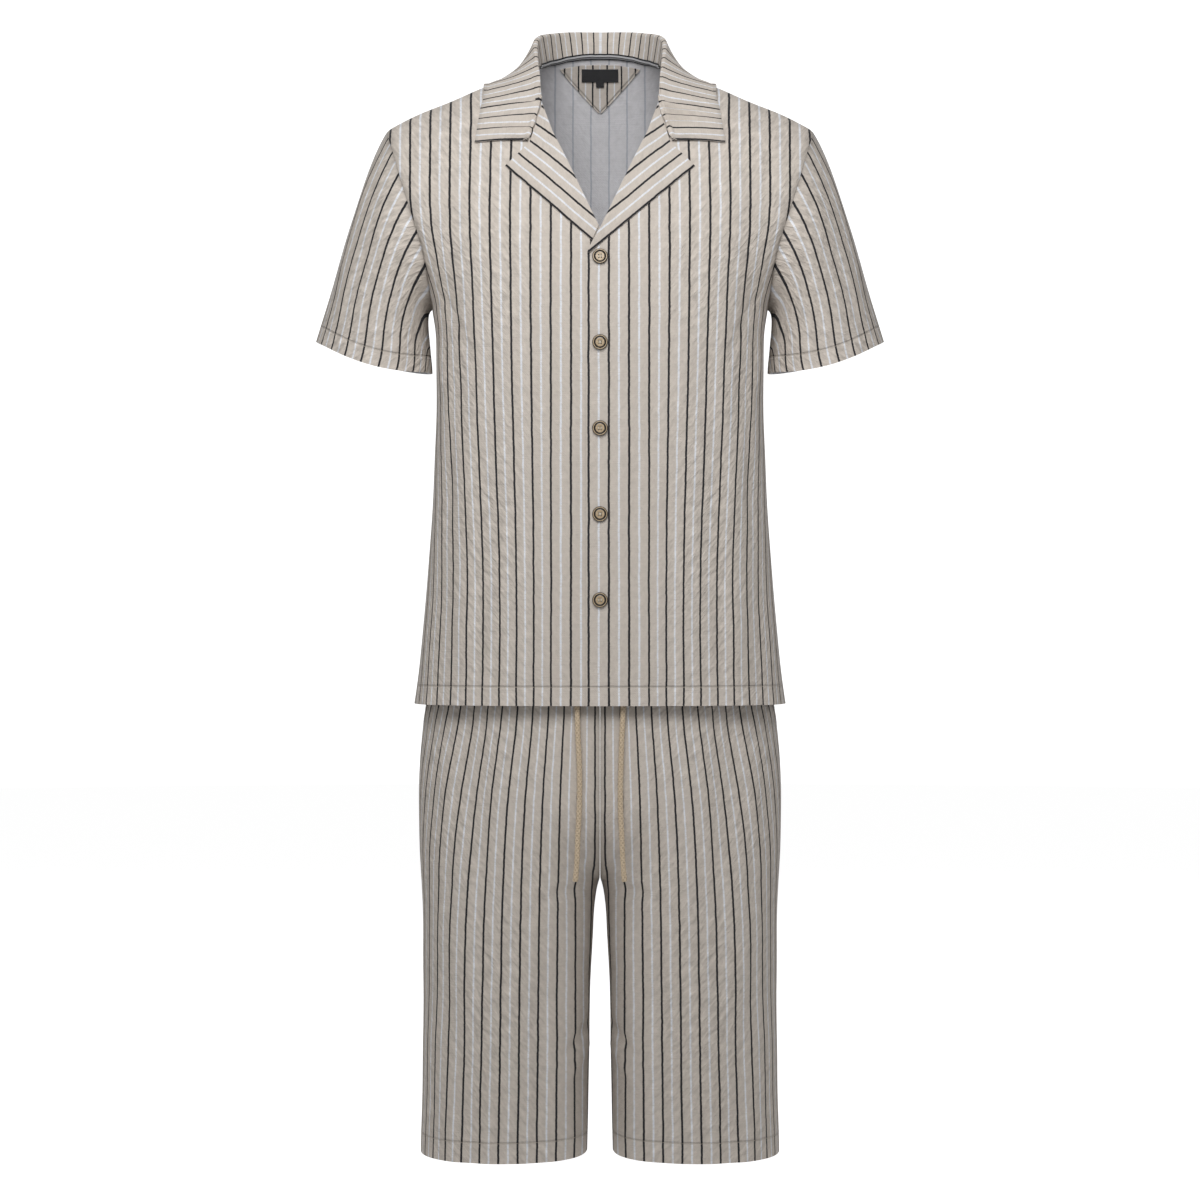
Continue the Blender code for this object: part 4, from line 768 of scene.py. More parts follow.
# Spacing of the black lines over the height: a white line lies midway between two of them
# z, spacing
SHIRT_SPACING = (
    (-0.700, 0.0186),
    (-0.540, 0.0186),
    (-0.400, 0.0202),
    (-0.270, 0.0214),
    (-0.100, 0.0220),
    (0.040, 0.0222),
)
SHORTS_SPACING = (
    (-1.190, 0.0208),
    (-1.050, 0.0203),
    (-0.889, 0.0197),
    (-0.800, 0.0187),
    (-0.694, 0.0165),
    (-0.600, 0.0160),
)
SHIRT_FIRST_LINE, SHIRT_MIDDLE_SPACING, SHIRT_MIDDLE = 0.0094, 0.0215, 0.0500
SHORTS_FIRST_LINE = 0.0063
SHORTS_ANCHOR_X, SHORTS_ANCHOR = 0.100, 0.1012
BACK_SPACING = 0.0205
SLEEVE_SPACING = 0.0200
COLLAR_SPACING = 0.0170
EDGE_LINE = 0.0011
LINE_RUNS_ON = 0.050
LAPEL_SPACING = 0.0195
FACING_SPACING = 0.0166

# Creases and ridges placed on the panels, outward where height is above zero
# panel, x at start, z at start, x at end, z at end, half width, bow, height
CREASES = (
    ("front", 0.186, -0.075, 0.176, -0.235, 0.010, 0.004, -0.0022),
    ("front", 0.170, -0.060, 0.158, -0.260, 0.012, -0.005, 0.0014),
    ("front", 0.176, -0.245, 0.132, -0.345, 0.008, 0.006, -0.0018),
    ("front", 0.178, -0.262, 0.150, -0.420, 0.009, -0.004, 0.0012),
    ("front", 0.160, -0.330, 0.166, -0.520, 0.008, 0.003, -0.0016),
    ("front", 0.100, -0.110, 0.108, -0.300, 0.020, 0.006, -0.0012),
    ("front", 0.040, -0.300, 0.095, -0.345, 0.010, 0.004, -0.0006),
    ("front", 0.034, -0.470, 0.090, -0.520, 0.012, -0.004, -0.0007),
    ("front", 0.120, -0.520, 0.104, -0.680, 0.010, 0.003, -0.0011),
    ("front", 0.150, -0.560, 0.148, -0.690, 0.009, 0.004, 0.0013),
    ("front", 0.048, -0.560, 0.052, -0.690, 0.010, 0.003, 0.0008),
    ("back", 0.182, -0.080, 0.172, -0.240, 0.012, 0.004, -0.0022),
    ("back", 0.176, -0.245, 0.124, -0.350, 0.010, 0.006, -0.0018),
    ("back", 0.060, -0.020, 0.130, -0.070, 0.014, 0.008, -0.0010),
    ("back", 0.030, -0.300, 0.050, -0.520, 0.016, 0.006, -0.0012),
    ("back", 0.120, -0.420, 0.116, -0.660, 0.012, 0.005, 0.0014),
    ("back", 0.168, -0.380, 0.160, -0.560, 0.010, -0.004, -0.0016),
    ("back", 0.062, -0.560, 0.070, -0.690, 0.012, 0.003, 0.0010),
    ("shorts front", 0.030, -0.690, 0.036, -0.800, 0.008, 0.002, -0.0012),
    ("shorts front", 0.048, -0.690, 0.060, -0.850, 0.008, 0.003, 0.0011),
    ("shorts front", 0.084, -0.690, 0.098, -0.840, 0.010, 0.003, -0.0014),
    ("shorts front", 0.104, -0.690, 0.118, -0.800, 0.009, 0.002, 0.0012),
    ("shorts front", 0.140, -0.695, 0.158, -0.830, 0.010, 0.004, -0.0016),
    ("shorts front", 0.165, -0.700, 0.176, -0.900, 0.010, 0.003, 0.0014),
    ("shorts front", 0.004, -0.880, 0.050, -0.820, 0.012, 0.005, -0.0024),
    ("shorts front", 0.006, -0.895, 0.070, -0.905, 0.014, -0.006, -0.0018),
    ("shorts front", 0.008, -1.032, 0.040, -1.070, 0.008, 0.003, -0.0022),
    ("shorts front", 0.010, -1.060, 0.038, -1.098, 0.007, 0.003, 0.0014),
    ("shorts front", 0.100, -0.920, 0.104, -1.160, 0.016, 0.006, -0.0016),
    ("shorts front", 0.170, -0.950, 0.160, -1.150, 0.014, 0.005, -0.0016),
    ("shorts back", 0.004, -0.880, 0.070, -0.830, 0.014, 0.006, -0.0030),
    ("shorts back", 0.008, -0.900, 0.080, -0.925, 0.014, -0.006, -0.0022),
    ("shorts back", 0.040, -0.690, 0.052, -0.820, 0.010, 0.003, -0.0016),
    ("shorts back", 0.100, -0.690, 0.112, -0.850, 0.011, 0.003, -0.0016),
    ("shorts back", 0.150, -0.700, 0.164, -0.860, 0.010, 0.004, 0.0014),
    ("shorts back", 0.050, -0.980, 0.054, -1.170, 0.016, 0.006, -0.0016),
    ("shorts back", 0.120, -0.960, 0.116, -1.150, 0.016, 0.005, 0.0014),
)
# Sleeve folds, by their place round the sleeve from its top (front above zero) and above the cuff
# around at start, up at start, around at end, up at end, half width, bow, height
SLEEVE_CREASES = (
    (0.085, 0.150, 0.055, 0.020, 0.012, 0.004, -0.0020),
    (0.040, 0.200, 0.030, 0.060, 0.014, -0.005, 0.0014),
    (0.120, 0.120, 0.098, 0.015, 0.010, 0.004, -0.0018),
    (0.000, 0.230, -0.006, 0.100, 0.012, 0.004, -0.0012),
    (-0.060, 0.190, -0.050, 0.030, 0.014, 0.004, -0.0020),
    (-0.105, 0.140, -0.090, 0.015, 0.012, -0.004, 0.0016),
    (0.150, 0.080, 0.120, 0.030, 0.010, 0.003, -0.0014),
    (-0.150, 0.080, -0.125, 0.030, 0.010, 0.003, -0.0014),
)


def crease_height(rows, across, up):
    """How far the placed creases raise (or, below zero, sink) the cloth at the given places."""
    height = np.zeros(np.broadcast(across, up).shape)
    for from_across, from_up, to_across, to_up, half_width, bow, rise in rows:
        way = (to_across - from_across, to_up - from_up)
        length = math.hypot(*way)
        along = ((across - from_across) * way[0] + (up - from_up) * way[1]) / length**2
        aside = ((across - from_across) * way[1] - (up - from_up) * way[0]) / length
        inside = np.clip(along, 0.0, 1.0)
        aside = aside - 4.0 * bow * inside * (1.0 - inside)
        taper = np.sin(inside * math.pi) ** 0.8
        height += rise * taper * np.cos(np.clip(aside / half_width, -1.0, 1.0) * math.pi / 2) ** 2
    return height


def panel_creases(panel):
    return [row[1:] for row in CREASES if row[0] == panel]


def slow_unevenness(across, up, phase):
    """A slight unevenness of hanging cloth, about half a millimetre."""
    return 0.00022 * (
        np.sin(across * 93.0 + up * 21.0 + phase)
        + np.sin(across * 151.0 - up * 37.0 + phase * 2.1)
        + np.sin(up * 61.0 + across * 47.0 + phase * 0.7)
    )


def fine_shares(columns):
    return np.array(sorted(set(np.linspace(0.0, 1.0, columns + 1)) | set(EDGE_SHARES)))


def between(values, parts):
    """The values with evenly spaced ones put between each two."""
    values = np.asarray(values, dtype=float)
    steps = np.arange(parts) / parts
    filled = values[:-1, None] + (values[1:] - values[:-1])[:, None] * steps
    return np.append(filled.ravel(), values[-1])


def lengths_along(points):
    steps = np.linalg.norm(np.diff(points, axis=0), axis=1)
    return np.concatenate([[0.0], np.cumsum(steps)])


def shirt_lines(across, z):
    """The stripe coordinate of the shirt body: black lines at whole numbers, white ones at halves."""
    spacing = read_table(SHIRT_SPACING, z, 1)
    near = (np.minimum(across, SHIRT_MIDDLE) - SHIRT_FIRST_LINE) / SHIRT_MIDDLE_SPACING
    return near + np.maximum(across - SHIRT_MIDDLE, 0.0) / spacing


def edge_distance(grid):
    """Each point's distance along its row from the nearer end."""
    steps = np.linalg.norm(np.diff(grid, axis=1), axis=2)
    travelled = np.concatenate([np.zeros((len(grid), 1)), np.cumsum(steps, axis=1)], axis=1)
    return travelled, travelled[:, -1:] - travelled


def panel_places(side, edge, lift):
    """A half panel's fine rows with the places of its stripes, hem and seams."""
    angles = between(armhole_angles(side), ROWS_BETWEEN)
    neck_shares, neck_x = neckline(side, edge)
    spread = 1.0 - (1.0 - np.linspace(0.0, 1.0, 260)) ** 3
    shares = fine_shares(FINE_COLUMNS)
    grid, across = [], []
    levels = between(np.linspace(SHIRT_HEM_Z, ARMPIT_Z, BELOW_ARMPIT_ROWS + 1), LEVELS_BELOW // 11)[:-1]
    rows = [(float(read_table(SHIRT_SECTIONS, z, 1)), -edge, z, None) for z in levels]
    for angle in angles:
        x_out, _, z_out = armhole_point(angle)
        share = float(rise_share(x_out, z_out))
        x_in = -edge if share < neck_shares[0] else float(np.interp(share, neck_shares, neck_x))
        rows.append((float(x_out), x_in, None, share))
    for x_out, x_in, z_level, share in rows:
        x = x_in + (x_out - x_in) * spread
        whole = x_out * spread
        if z_level is None:
            z = ARMPIT_Z + (shoulder_height(x) - ARMPIT_Z) * share
            whole_z = ARMPIT_Z + (shoulder_height(whole) - ARMPIT_Z) * share
        else:
            z, whole_z = np.full_like(x, z_level), np.full_like(whole, z_level)
        line = np.stack([x, side * cloth_depth(x, z, side, lift), z], axis=1)
        row = spaced_along(line, shares)
        plan = np.stack([whole, form_depth(whole, whole_z, side)], axis=1)
        grid.append(row)
        across.append(np.where(row[:, 0] < 0, row[:, 0], np.interp(row[:, 0], whole, lengths_along(plan))))
    grid, across = np.array(grid), np.array(across)
    arm = len(levels)
    x, y, z = armhole_point(angles)
    grid[arm:, -1] = np.stack([x, side * np.maximum(y, HALF_GAP), z], axis=1)
    grid[: arm + 1, -1, 1] = side * HALF_GAP
    grid[-1, :, 1] = side * HALF_GAP
    grid[-1, :, 2] = shoulder_height(grid[-1, :, 0])
    return grid, across, arm


def cloth_marks(grid, across, stripe, hem_z, hem_depth):
    """The marks that a cloth material reads at each point."""
    up = grid[..., 2] - hem_z
    stitch = up - hem_depth if hem_depth else np.full(up.shape, STITCH_FAR)
    return {"stripe": stripe, "across": across, "up": up, "stitch": stitch, "crinkle": np.ones(up.shape)}


def sunk_seams(grid, normals, relief, seams):
    """The grid raised by its relief, which dies out at its seams, where the cloth sinks a little."""
    near = np.min(seams, axis=0)
    fade = smooth_step(0.0, 0.012, near)
    ditch = SEAM_SINK * (1.0 - smooth_step(0.0, SEAM_REACH, near))
    return grid + normals * (relief * fade - ditch)[..., None], near


def cloth_wall(name, grid, marks, thickness, outer, inner, slot, node, wrap=False, normals=None):
    """A thin closed wall of cloth with its marks, put on its solid's place."""
    rows, columns = grid.shape[:2]
    points = grid.reshape(-1, 3)
    faces = marks.get("faces")
    if faces is None:
        faces = grid_faces(rows, columns, wrap)
    if marks.get("turned"):
        faces = flipped(faces)
    normals = vertex_normals(points, faces) if normals is None else normals.reshape(-1, 3)
    marks = {key: np.ravel(marks.get(key, np.zeros(len(points)))) for key in MARK_NAMES}
    used = np.unique(faces)
    renumber = np.zeros(len(points), dtype=int)
    renumber[used] = np.arange(len(used))
    points, normals, faces = points[used], normals[used], renumber[faces]
    inside = points - normals * thickness
    count = len(points)
    edges = set()
    for face in faces.tolist():
        for k in range(4):
            edges.add((face[k], face[(k + 1) % 4]))
    rim = [(b, a, a + count, b + count) for a, b in sorted(edges) if (b, a) not in edges]
    every = faces.tolist() + (faces[:, ::-1] + count).tolist() + rim
    mesh = bpy.data.meshes.new(name)
    mesh.from_pydata(np.concatenate([points, inside]).tolist(), [], every)
    for key in MARK_NAMES[2:]:
        held = mesh.attributes.new(key, "FLOAT", "POINT")
        held.data.foreach_set("value", np.tile(marks[key][used], 2).astype(np.float32))
    layer = mesh.uv_layers.new(name="cloth")
    corner = np.empty(len(mesh.loops), dtype=np.int64)
    mesh.loops.foreach_get("vertex_index", corner)
    pair = np.stack([marks["stripe"][used], marks["up"][used]], axis=1)
    layer.data.foreach_set("uv", pair[corner % count].astype(np.float32).ravel())
    mesh.materials.append(bpy.data.materials[outer])
    mesh.materials.append(bpy.data.materials[inner])
    which = np.zeros(len(every), dtype=np.int32)
    which[len(faces) : 2 * len(faces)] = 1
    mesh.polygons.foreach_set("material_index", which)
    mesh.shade_smooth()
    mesh.set_sharp_from_angle(angle=math.radians(55))
    obj = bpy.data.objects.new(name, mesh)
    return put(obj, slot, node)


def put(obj, slot, *nodes):
    """Links a piece, hangs it from the root and hides the solids that it stands for; the slot is not used."""
    bpy.context.scene.collection.objects.link(obj)
    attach(obj, ROOT)
    if nodes:
        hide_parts(*nodes)
    return obj


def surface_of(panel, inward=0.0):
    """A panel's outer face, or the face that far inside it, for a search tree."""
    points = panel["grid"].reshape(-1, 3)
    faces = panel["marks"].get("faces")
    if faces is None:
        faces = grid_faces(*panel["grid"].shape[:2])
    if panel["marks"]["turned"]:
        faces = flipped(faces)
    if inward:
        points = points - vertex_normals(points, faces) * inward
        faces = flipped(faces)
    return points, faces


def tree_of(*surfaces):
    points, faces = [], []
    for more, more_faces in surfaces:
        faces += (more_faces + len(points)).tolist()
        points += more.tolist()
    return BVHTree.FromPolygons(points, faces)


# The shirt's body


def shared_armhole(front, back, sleeve):
    """One set of normals for the two edges of the armhole seam, and the sleeve's step off it."""
    ring = sleeve["grid"][0]
    body = np.concatenate([front["normals"][front["arm"] :, -1], back["normals"][back["arm"] :, -1][-2:0:-1]])
    along = unit(np.roll(ring, -1, axis=0) - np.roll(ring, 1, axis=0))
    shared = unit(body) + unit(sleeve["normals"][0])
    shared[[0, len(front["grid"]) - front["arm"] - 1], 1] = 0.0
    shared = unit(shared - along * np.sum(shared * along, axis=1, keepdims=True))
    step = unit(np.cross(along, shared))
    toward = np.sum(step * (sleeve["grid"][1] - ring), axis=1)
    return shared, step * np.where(toward < 0, -1.0, 1.0)[:, None]


def half_shirt(side, edge, lift):
    """A half panel of the shirt at +X with its marks and normals."""
    grid, across, arm = panel_places(side, edge, lift)
    z = grid[..., 2]
    stripe = shirt_lines(across, z) if side < 0 else (across - BACK_SPACING * 0.5) / BACK_SPACING
    marks = cloth_marks(grid, across, stripe, SHIRT_HEM_Z, HEM_DEPTH["shirt"])
    faces = grid_faces(*grid.shape[:2])
    normals = vertex_normals(grid.reshape(-1, 3), faces)
    middle = np.array([0.0, 0.0, float(z.mean())])
    turned = np.sum(normals * (grid.reshape(-1, 3) - middle)) < 0
    marks["turned"] = turned
    normals = normals.reshape(grid.shape) * (-1.0 if turned else 1.0)
    normals[: arm + 1, -1, 1] = 0.0
    normals[-1, :, 1] = 0.0
    normals = unit(normals)
    return {"grid": grid, "normals": normals, "marks": marks, "arm": arm, "across": across}


def finish_half(half, panel, free_edge):
    """Adds the creases and the seam ditches to a half panel."""
    grid = half["grid"]
    from_inner, from_outer = edge_distance(grid)
    top = np.abs(shoulder_height(grid[..., 0]) - grid[..., 2]) + np.abs(grid[..., 1]) * 0.35
    seams = [from_outer, top]
    if not free_edge:
        seams.append(np.full(grid.shape[:2], 1.0))
    relief = crease_height(panel_creases(panel), np.abs(grid[..., 0]), grid[..., 2])
    relief += slow_unevenness(grid[..., 0], grid[..., 2], 0.4 if panel == "front" else 2.3)
    moved, near = sunk_seams(grid, half["normals"], relief, np.array(seams))
    half["grid"] = moved
    # Painted shade near the panel's seams, read by the cloth finish.
    half["marks"]["seam"] = np.exp(-near / 0.004)
    outer = smooth_step(0.050, 0.105, half["across"])
    half["marks"]["crinkle"] = 0.25 + 0.75 * outer
    return half


def other_side(half):
    """The half panel on the other side of the body."""
    marks = dict(half["marks"])
    marks["turned"] = not marks["turned"]
    return {"grid": mirrored(half["grid"]), "normals": mirrored(half["normals"]), "marks": marks}


def joined_back(half):
    """The whole back: the half and its mirror image, joined along the centre up to the neckline."""
    joined = {"marks": {"turned": half["marks"]["turned"]}}
    for key in ("grid", "normals"):
        joined[key] = np.concatenate([mirrored(half[key][:, ::-1]), half[key]], axis=1)
    for key, values in half["marks"].items():
        if isinstance(values, np.ndarray):
            joined["marks"][key] = np.concatenate([values[:, ::-1], values], axis=1)
    rows, columns = joined["grid"].shape[:2]
    middle = columns // 2
    on_centre = np.abs(joined["grid"][:, middle, 0]) < 1e-7
    joined["normals"][on_centre, middle, 0] = 0.0
    joined["normals"] = unit(joined["normals"])
    same = np.arange(rows * columns).reshape(rows, columns)
    same[on_centre, middle - 1] = same[on_centre, middle]
    faces = grid_faces(rows, columns)
    faces = faces[faces[:, 0] % columns != middle - 1]
    joined["marks"]["faces"] = same.ravel()[faces]
    return joined


def sleeve_places():
    """The left sleeve's rings, with each point's place round it and above the cuff."""
    front = between(armhole_angles(-1), ROWS_BETWEEN)
    back = between(armhole_angles(1), ROWS_BETWEEN)
    lines = [sleeve_line(a, -1, SLEEVE_FINE_RINGS) for a in front]
    lines += [sleeve_line(a, 1, SLEEVE_FINE_RINGS) for a in back[-2:0:-1]]
    grid = np.stack(lines, axis=1)
    top = len(front) - 1
    axis = unit(grid[-1].mean(axis=0) - grid[0].mean(axis=0))
    steps = np.roll(grid, -1, axis=1) - grid
    steps -= np.sum(steps * axis, axis=-1, keepdims=True) * axis
    lengths = np.linalg.norm(steps, axis=-1)
    around = np.cumsum(lengths, axis=1) - lengths
    around = around[:, top : top + 1] - around
    up = np.linalg.norm(np.diff(grid, axis=0), axis=-1)
    up = np.concatenate([np.cumsum(up[::-1], axis=0)[::-1], np.zeros((1, grid.shape[1]))])
    return grid, around, up, top


def grain_places(grid, around, up, top):
    """The places round the sleeve of lines that run straight down it, cut off by the armhole seam."""
    down = unit((grid[-1, top] - grid[0, top])[[0, 2]])
    inward = (grid - grid[:, top : top + 1])[..., [0, 2]] @ np.array([down[1], -down[0]])
    share = np.clip(inward / CUFF_HALF_WIDTH, 0.0, 1.3)
    straight = np.arccos(1.0 - share) + 1.05 * np.maximum(inward / CUFF_HALF_WIDTH - 1.3, 0.0)
    rise = smooth_step(0.0, 0.55, up / up[:1])
    return around + (np.sign(around) * straight * CUFF_HALF_WIDTH - around) * rise


def build_sleeve():
    grid, around, up, top = sleeve_places()
    stripe = grain_places(grid, around, up, top) / SLEEVE_SPACING + 0.5
    marks = {
        "stripe": stripe,
        "across": around,
        "up": up,
        "stitch": up - HEM_DEPTH["sleeve"],
        "crinkle": np.full(up.shape, 1.25),
    }
    faces = grid_faces(*grid.shape[:2], wrap=True)
    flat = grid.reshape(-1, 3)
    normals = vertex_normals(flat, faces)
    turned = np.sum(normals * (flat - flat.mean(axis=0))) < 0
    marks["turned"] = turned
    normals = normals.reshape(grid.shape) * (-1.0 if turned else 1.0)
    return {"grid": grid, "normals": normals, "marks": marks, "around": around, "up": up}


def finish_sleeve(sleeve, shared, step):
    sleeve["normals"][0] = shared
    grid = sleeve["grid"]
    grid[0] += step * SEAM_GAP
    from_seam = np.concatenate([[0.0], np.cumsum(np.linalg.norm(np.diff(grid, axis=0), axis=-1).mean(axis=1))])
    near = np.repeat(from_seam[:, None], grid.shape[1], axis=1)
    relief = crease_height(SLEEVE_CREASES, sleeve["around"], sleeve["up"])
    relief += slow_unevenness(sleeve["around"], sleeve["up"], 1.1)
    sleeve["grid"], near = sunk_seams(grid, sleeve["normals"], relief, np.array([near]))
    # Painted shade near the armhole seam.
    sleeve["marks"]["seam"] = np.exp(-near / 0.004)


SHIRT = {}


def shirt_body():
    """The fronts, back and sleeves, worked out once and used by every operator that needs them."""
    if SHIRT:
        return SHIRT
    sleeve = build_sleeve()
    left = half_shirt(-1, TOP_EDGE, OVERLAP_LIFT)
    right = half_shirt(-1, UNDER_EDGE, 0.0)
    back = half_shirt(1, 0.0, 0.0)
    shared, step = shared_armhole(right, back, sleeve)
    rows = len(right["grid"]) - right["arm"]
    for front in (left, right):
        front["normals"][front["arm"] :, -1] = shared[:rows]
    back_seam = np.concatenate([shared[:1], shared[rows:][::-1], shared[rows - 1 : rows]])
    back["normals"][back["arm"] :, -1] = back_seam
    finish_sleeve(sleeve, shared, step)
    SHIRT["front_left"] = finish_half(left, "front", True)
    SHIRT["front_right"] = other_side(finish_half(right, "front", True))
    SHIRT["back"] = joined_back(finish_half(back, "back", False))
    SHIRT["sleeve_left"] = sleeve
    SHIRT["sleeve_right"] = other_side(sleeve)
    for name in ("front_left", "front_right", "back"):
        panel = SHIRT[name]
        panel["outside"] = surface_of(panel)
        panel["inside"] = surface_of(panel, WALL)
    SHIRT["tree"] = tree_of(*(SHIRT[name]["outside"] for name in ("front_left", "front_right", "back")))
    return SHIRT


# Collar, lapels and the pieces inside the neck


def collar_grid(lines, tree):
    tangents = unit(np.gradient(lines[:, 0], axis=0))
    middle = (len(lines) - 1) / 2
    sections = []
    for k, (crest, edge, seam) in enumerate(lines):
        from_end = 1.0 - abs(k - middle) / middle
        radius = ROLL_RADIUS_FRONT + (ROLL_RADIUS_BACK - ROLL_RADIUS_FRONT) * smooth_step(0.2, 0.6, from_end)
        section = collar_section(crest, edge, seam, tangents[k], radius)
        section[0] = at_height(section[:1], tree, COLLAR_WALL + COLLAR_CLEAR)[0]
        sections.append(section)
    grid = np.array(sections)
    fall = slice(0, FALL_ROWS + 1)
    grid[:, fall] = lifted_clear(grid[:, fall], tree, COLLAR_WALL, COLLAR_CLEAR)
    fade = smooth_step(GORGE_COLUMNS, GORGE_COLUMNS * 0.5, np.arange(GORGE_COLUMNS))[:, None, None]
    for end, share in ((slice(0, GORGE_COLUMNS), fade), (slice(-GORGE_COLUMNS, None), fade[::-1])):
        grid[end] += softened(lifted_clear(grid[end], tree, 0.0, COLLAR_CLEAR) - grid[end]) * share
    return grid


def softened(moves, passes=6):
    """A grid's moves evened out with those of their neighbours."""
    for _ in range(passes):
        padded = np.pad(moves, ((1, 1), (1, 1), (0, 0)), mode="edge")
        moves = (padded[:-2, 1:-1] + padded[2:, 1:-1] + padded[1:-1, :-2] + padded[1:-1, 2:] + 2.0 * moves) / 6.0
    return moves


def build_collar():
    tree = shirt_body()["tree"]
    grid = collar_grid(collar_lines(COLLAR_COLUMNS, tree), tree)
    faces = grid_faces(*grid.shape[:2])
    normals = vertex_normals(grid.reshape(-1, 3), faces).reshape(grid.shape)
    turned = normals[len(grid) // 2, 1, 1] < 0
    travelled = lengths_along(grid[:, : FALL_ROWS + 1].mean(axis=1))
    from_end = np.minimum(travelled, travelled[-1] - travelled)
    across = np.repeat(from_end[:, None], grid.shape[1], axis=1)
    steps = np.linalg.norm(np.diff(grid, axis=1), axis=-1)
    up = np.concatenate([np.zeros((len(grid), 1)), np.cumsum(steps, axis=1)], axis=1)
    marks = {
        "stripe": (across - EDGE_LINE) / COLLAR_SPACING,
        "across": across,
        "up": up,
        "stitch": np.full(up.shape, STITCH_FAR),
        "crinkle": np.full(up.shape, 0.35),
        # Painted shade along the collar's outer edge and its front ends.
        "seam": 0.6 * np.exp(-np.minimum(up, across) / 0.003),
        "turned": turned,
    }
    obj = cloth_wall("collar_cloth", grid, marks, COLLAR_WALL, "cloth_outside", "cloth_outside", "striped_cloth", "collar")


def build_lapel(name, end, lift):
    tree = tree_of(shirt_body()[f"front_{name}"]["outside"])
    grid = lapel_grid(end, lift)
    if name == "right":
        grid = mirrored(grid)
    flat = at_height(grid, tree, LAPEL_CLEAR + TRIM_WALL)
    flat = lifted_clear(flat, tree, TRIM_WALL, LAPEL_CLEAR)
    faces = grid_faces(*flat.shape[:2])
    normals = vertex_normals(flat.reshape(-1, 3), faces).reshape(flat.shape)
    turned = normals[..., 1].mean() > 0
    if turned:
        normals = -normals
    lifted = flat + normals * (LAPEL_PUFF * smooth_step(0.018, 0.0, edge_from(flat)))[..., None]
    outer = flat[-1]
    away = distance_to_line(flat, outer)
    marks = {
        "stripe": (away - EDGE_LINE) / LAPEL_SPACING,
        "across": away,
        "up": np.repeat(lengths_along(outer)[None], len(flat), axis=0),
        "stitch": np.full(away.shape, STITCH_FAR),
        "crinkle": np.full(away.shape, 0.30),
        # Painted shade along the lapel's outer edge.
        "seam": 0.6 * np.exp(-away / 0.003),
        "turned": turned,
    }
    obj = cloth_wall(
        f"lapel_cloth_{name}", lifted, marks, TRIM_WALL, "cloth_outside", "cloth_inside", "striped_cloth", f"lapel_{name}"
    )


def edge_from(grid):
    """Each point's distance along its column from the first row, the roll."""
    steps = np.linalg.norm(np.diff(grid, axis=0), axis=-1)
    return np.concatenate([np.zeros((1, grid.shape[1])), np.cumsum(steps, axis=0)])


def distance_to_line(grid, line):
    """Each point's distance from a line that runs straight on at both ends."""
    first = line[0] + unit(line[0] - line[1]) * LINE_RUNS_ON
    last = line[-1] + unit(line[-1] - line[-2]) * LINE_RUNS_ON
    whole = np.concatenate([[first], line, [last]])
    starts, ways = whole[:-1], np.diff(whole, axis=0)
    off = grid[..., None, :] - starts
    share = np.clip(np.sum(off * ways, axis=-1) / np.sum(ways * ways, axis=-1), 0.0, 1.0)
    return np.linalg.norm(off - share[..., None] * ways, axis=-1).min(axis=-1)


def lining_wall(name, places, faces, tree, clearance, marks, outer, slot, node):
    shape = places.shape
    points = at_height(places.reshape(-1, 3), tree, clearance + TRIM_WALL)
    normals = vertex_normals(points, faces)
    marks["turned"] = normals[:, 1].mean() > 0
    marks["faces"] = faces
    obj = cloth_wall(name, points.reshape(shape), marks, TRIM_WALL, outer, outer, slot, node)
    if marks["turned"]:
        faces = flipped(faces)
    return obj, BVHTree.FromPolygons(points.tolist(), faces.tolist())


def plain_marks(stripe, across, up):
    shape = np.shape(up)
    return {
        "stripe": stripe,
        "across": across,
        "up": up,
        "stitch": np.full(shape, STITCH_FAR),
        "crinkle": np.full(shape, 0.2),
        "seam": np.zeros(shape),
    }


def facing_places():
    neck = np.array(BACK_NECKLINE)
    across = np.linspace(-1.0, 1.0, 61)
    down = np.linspace(0.0, 1.0, 31)
    top_x = FACING_HALF_WIDTH * across
    top_z = np.interp(np.abs(top_x), neck[:, 0], neck[:, 1]) - TAPE_HALF_HEIGHT - FACING_BELOW_TAPE
    x = top_x[None] * (1.0 - FACING_POINT_SHARE * down[:, None])
    z = top_z[None] + (FACING_POINT_Z - top_z[None]) * down[:, None]
    return x, z


def build_facing():
    x, z = facing_places()
    tree = tree_of(shirt_body()["back"]["inside"])
    marks = plain_marks(x / FACING_SPACING + 0.5, x, z)
    rows = np.linspace(0.0, 1.0, len(x))[:, None]
    sides = FACING_HALF_WIDTH * (1.0 - FACING_POINT_SHARE * rows) - np.abs(x)
    marks["stitch"] = sides - 0.0016
    obj, on_facing = lining_wall(
        "back_neck_facing_cloth", back_places(x, z), grid_faces(*x.shape), tree, INSIDE_CLEAR, marks,
        "cloth_outside", "striped_cloth", "back_neck_facing",
    )
    return on_facing


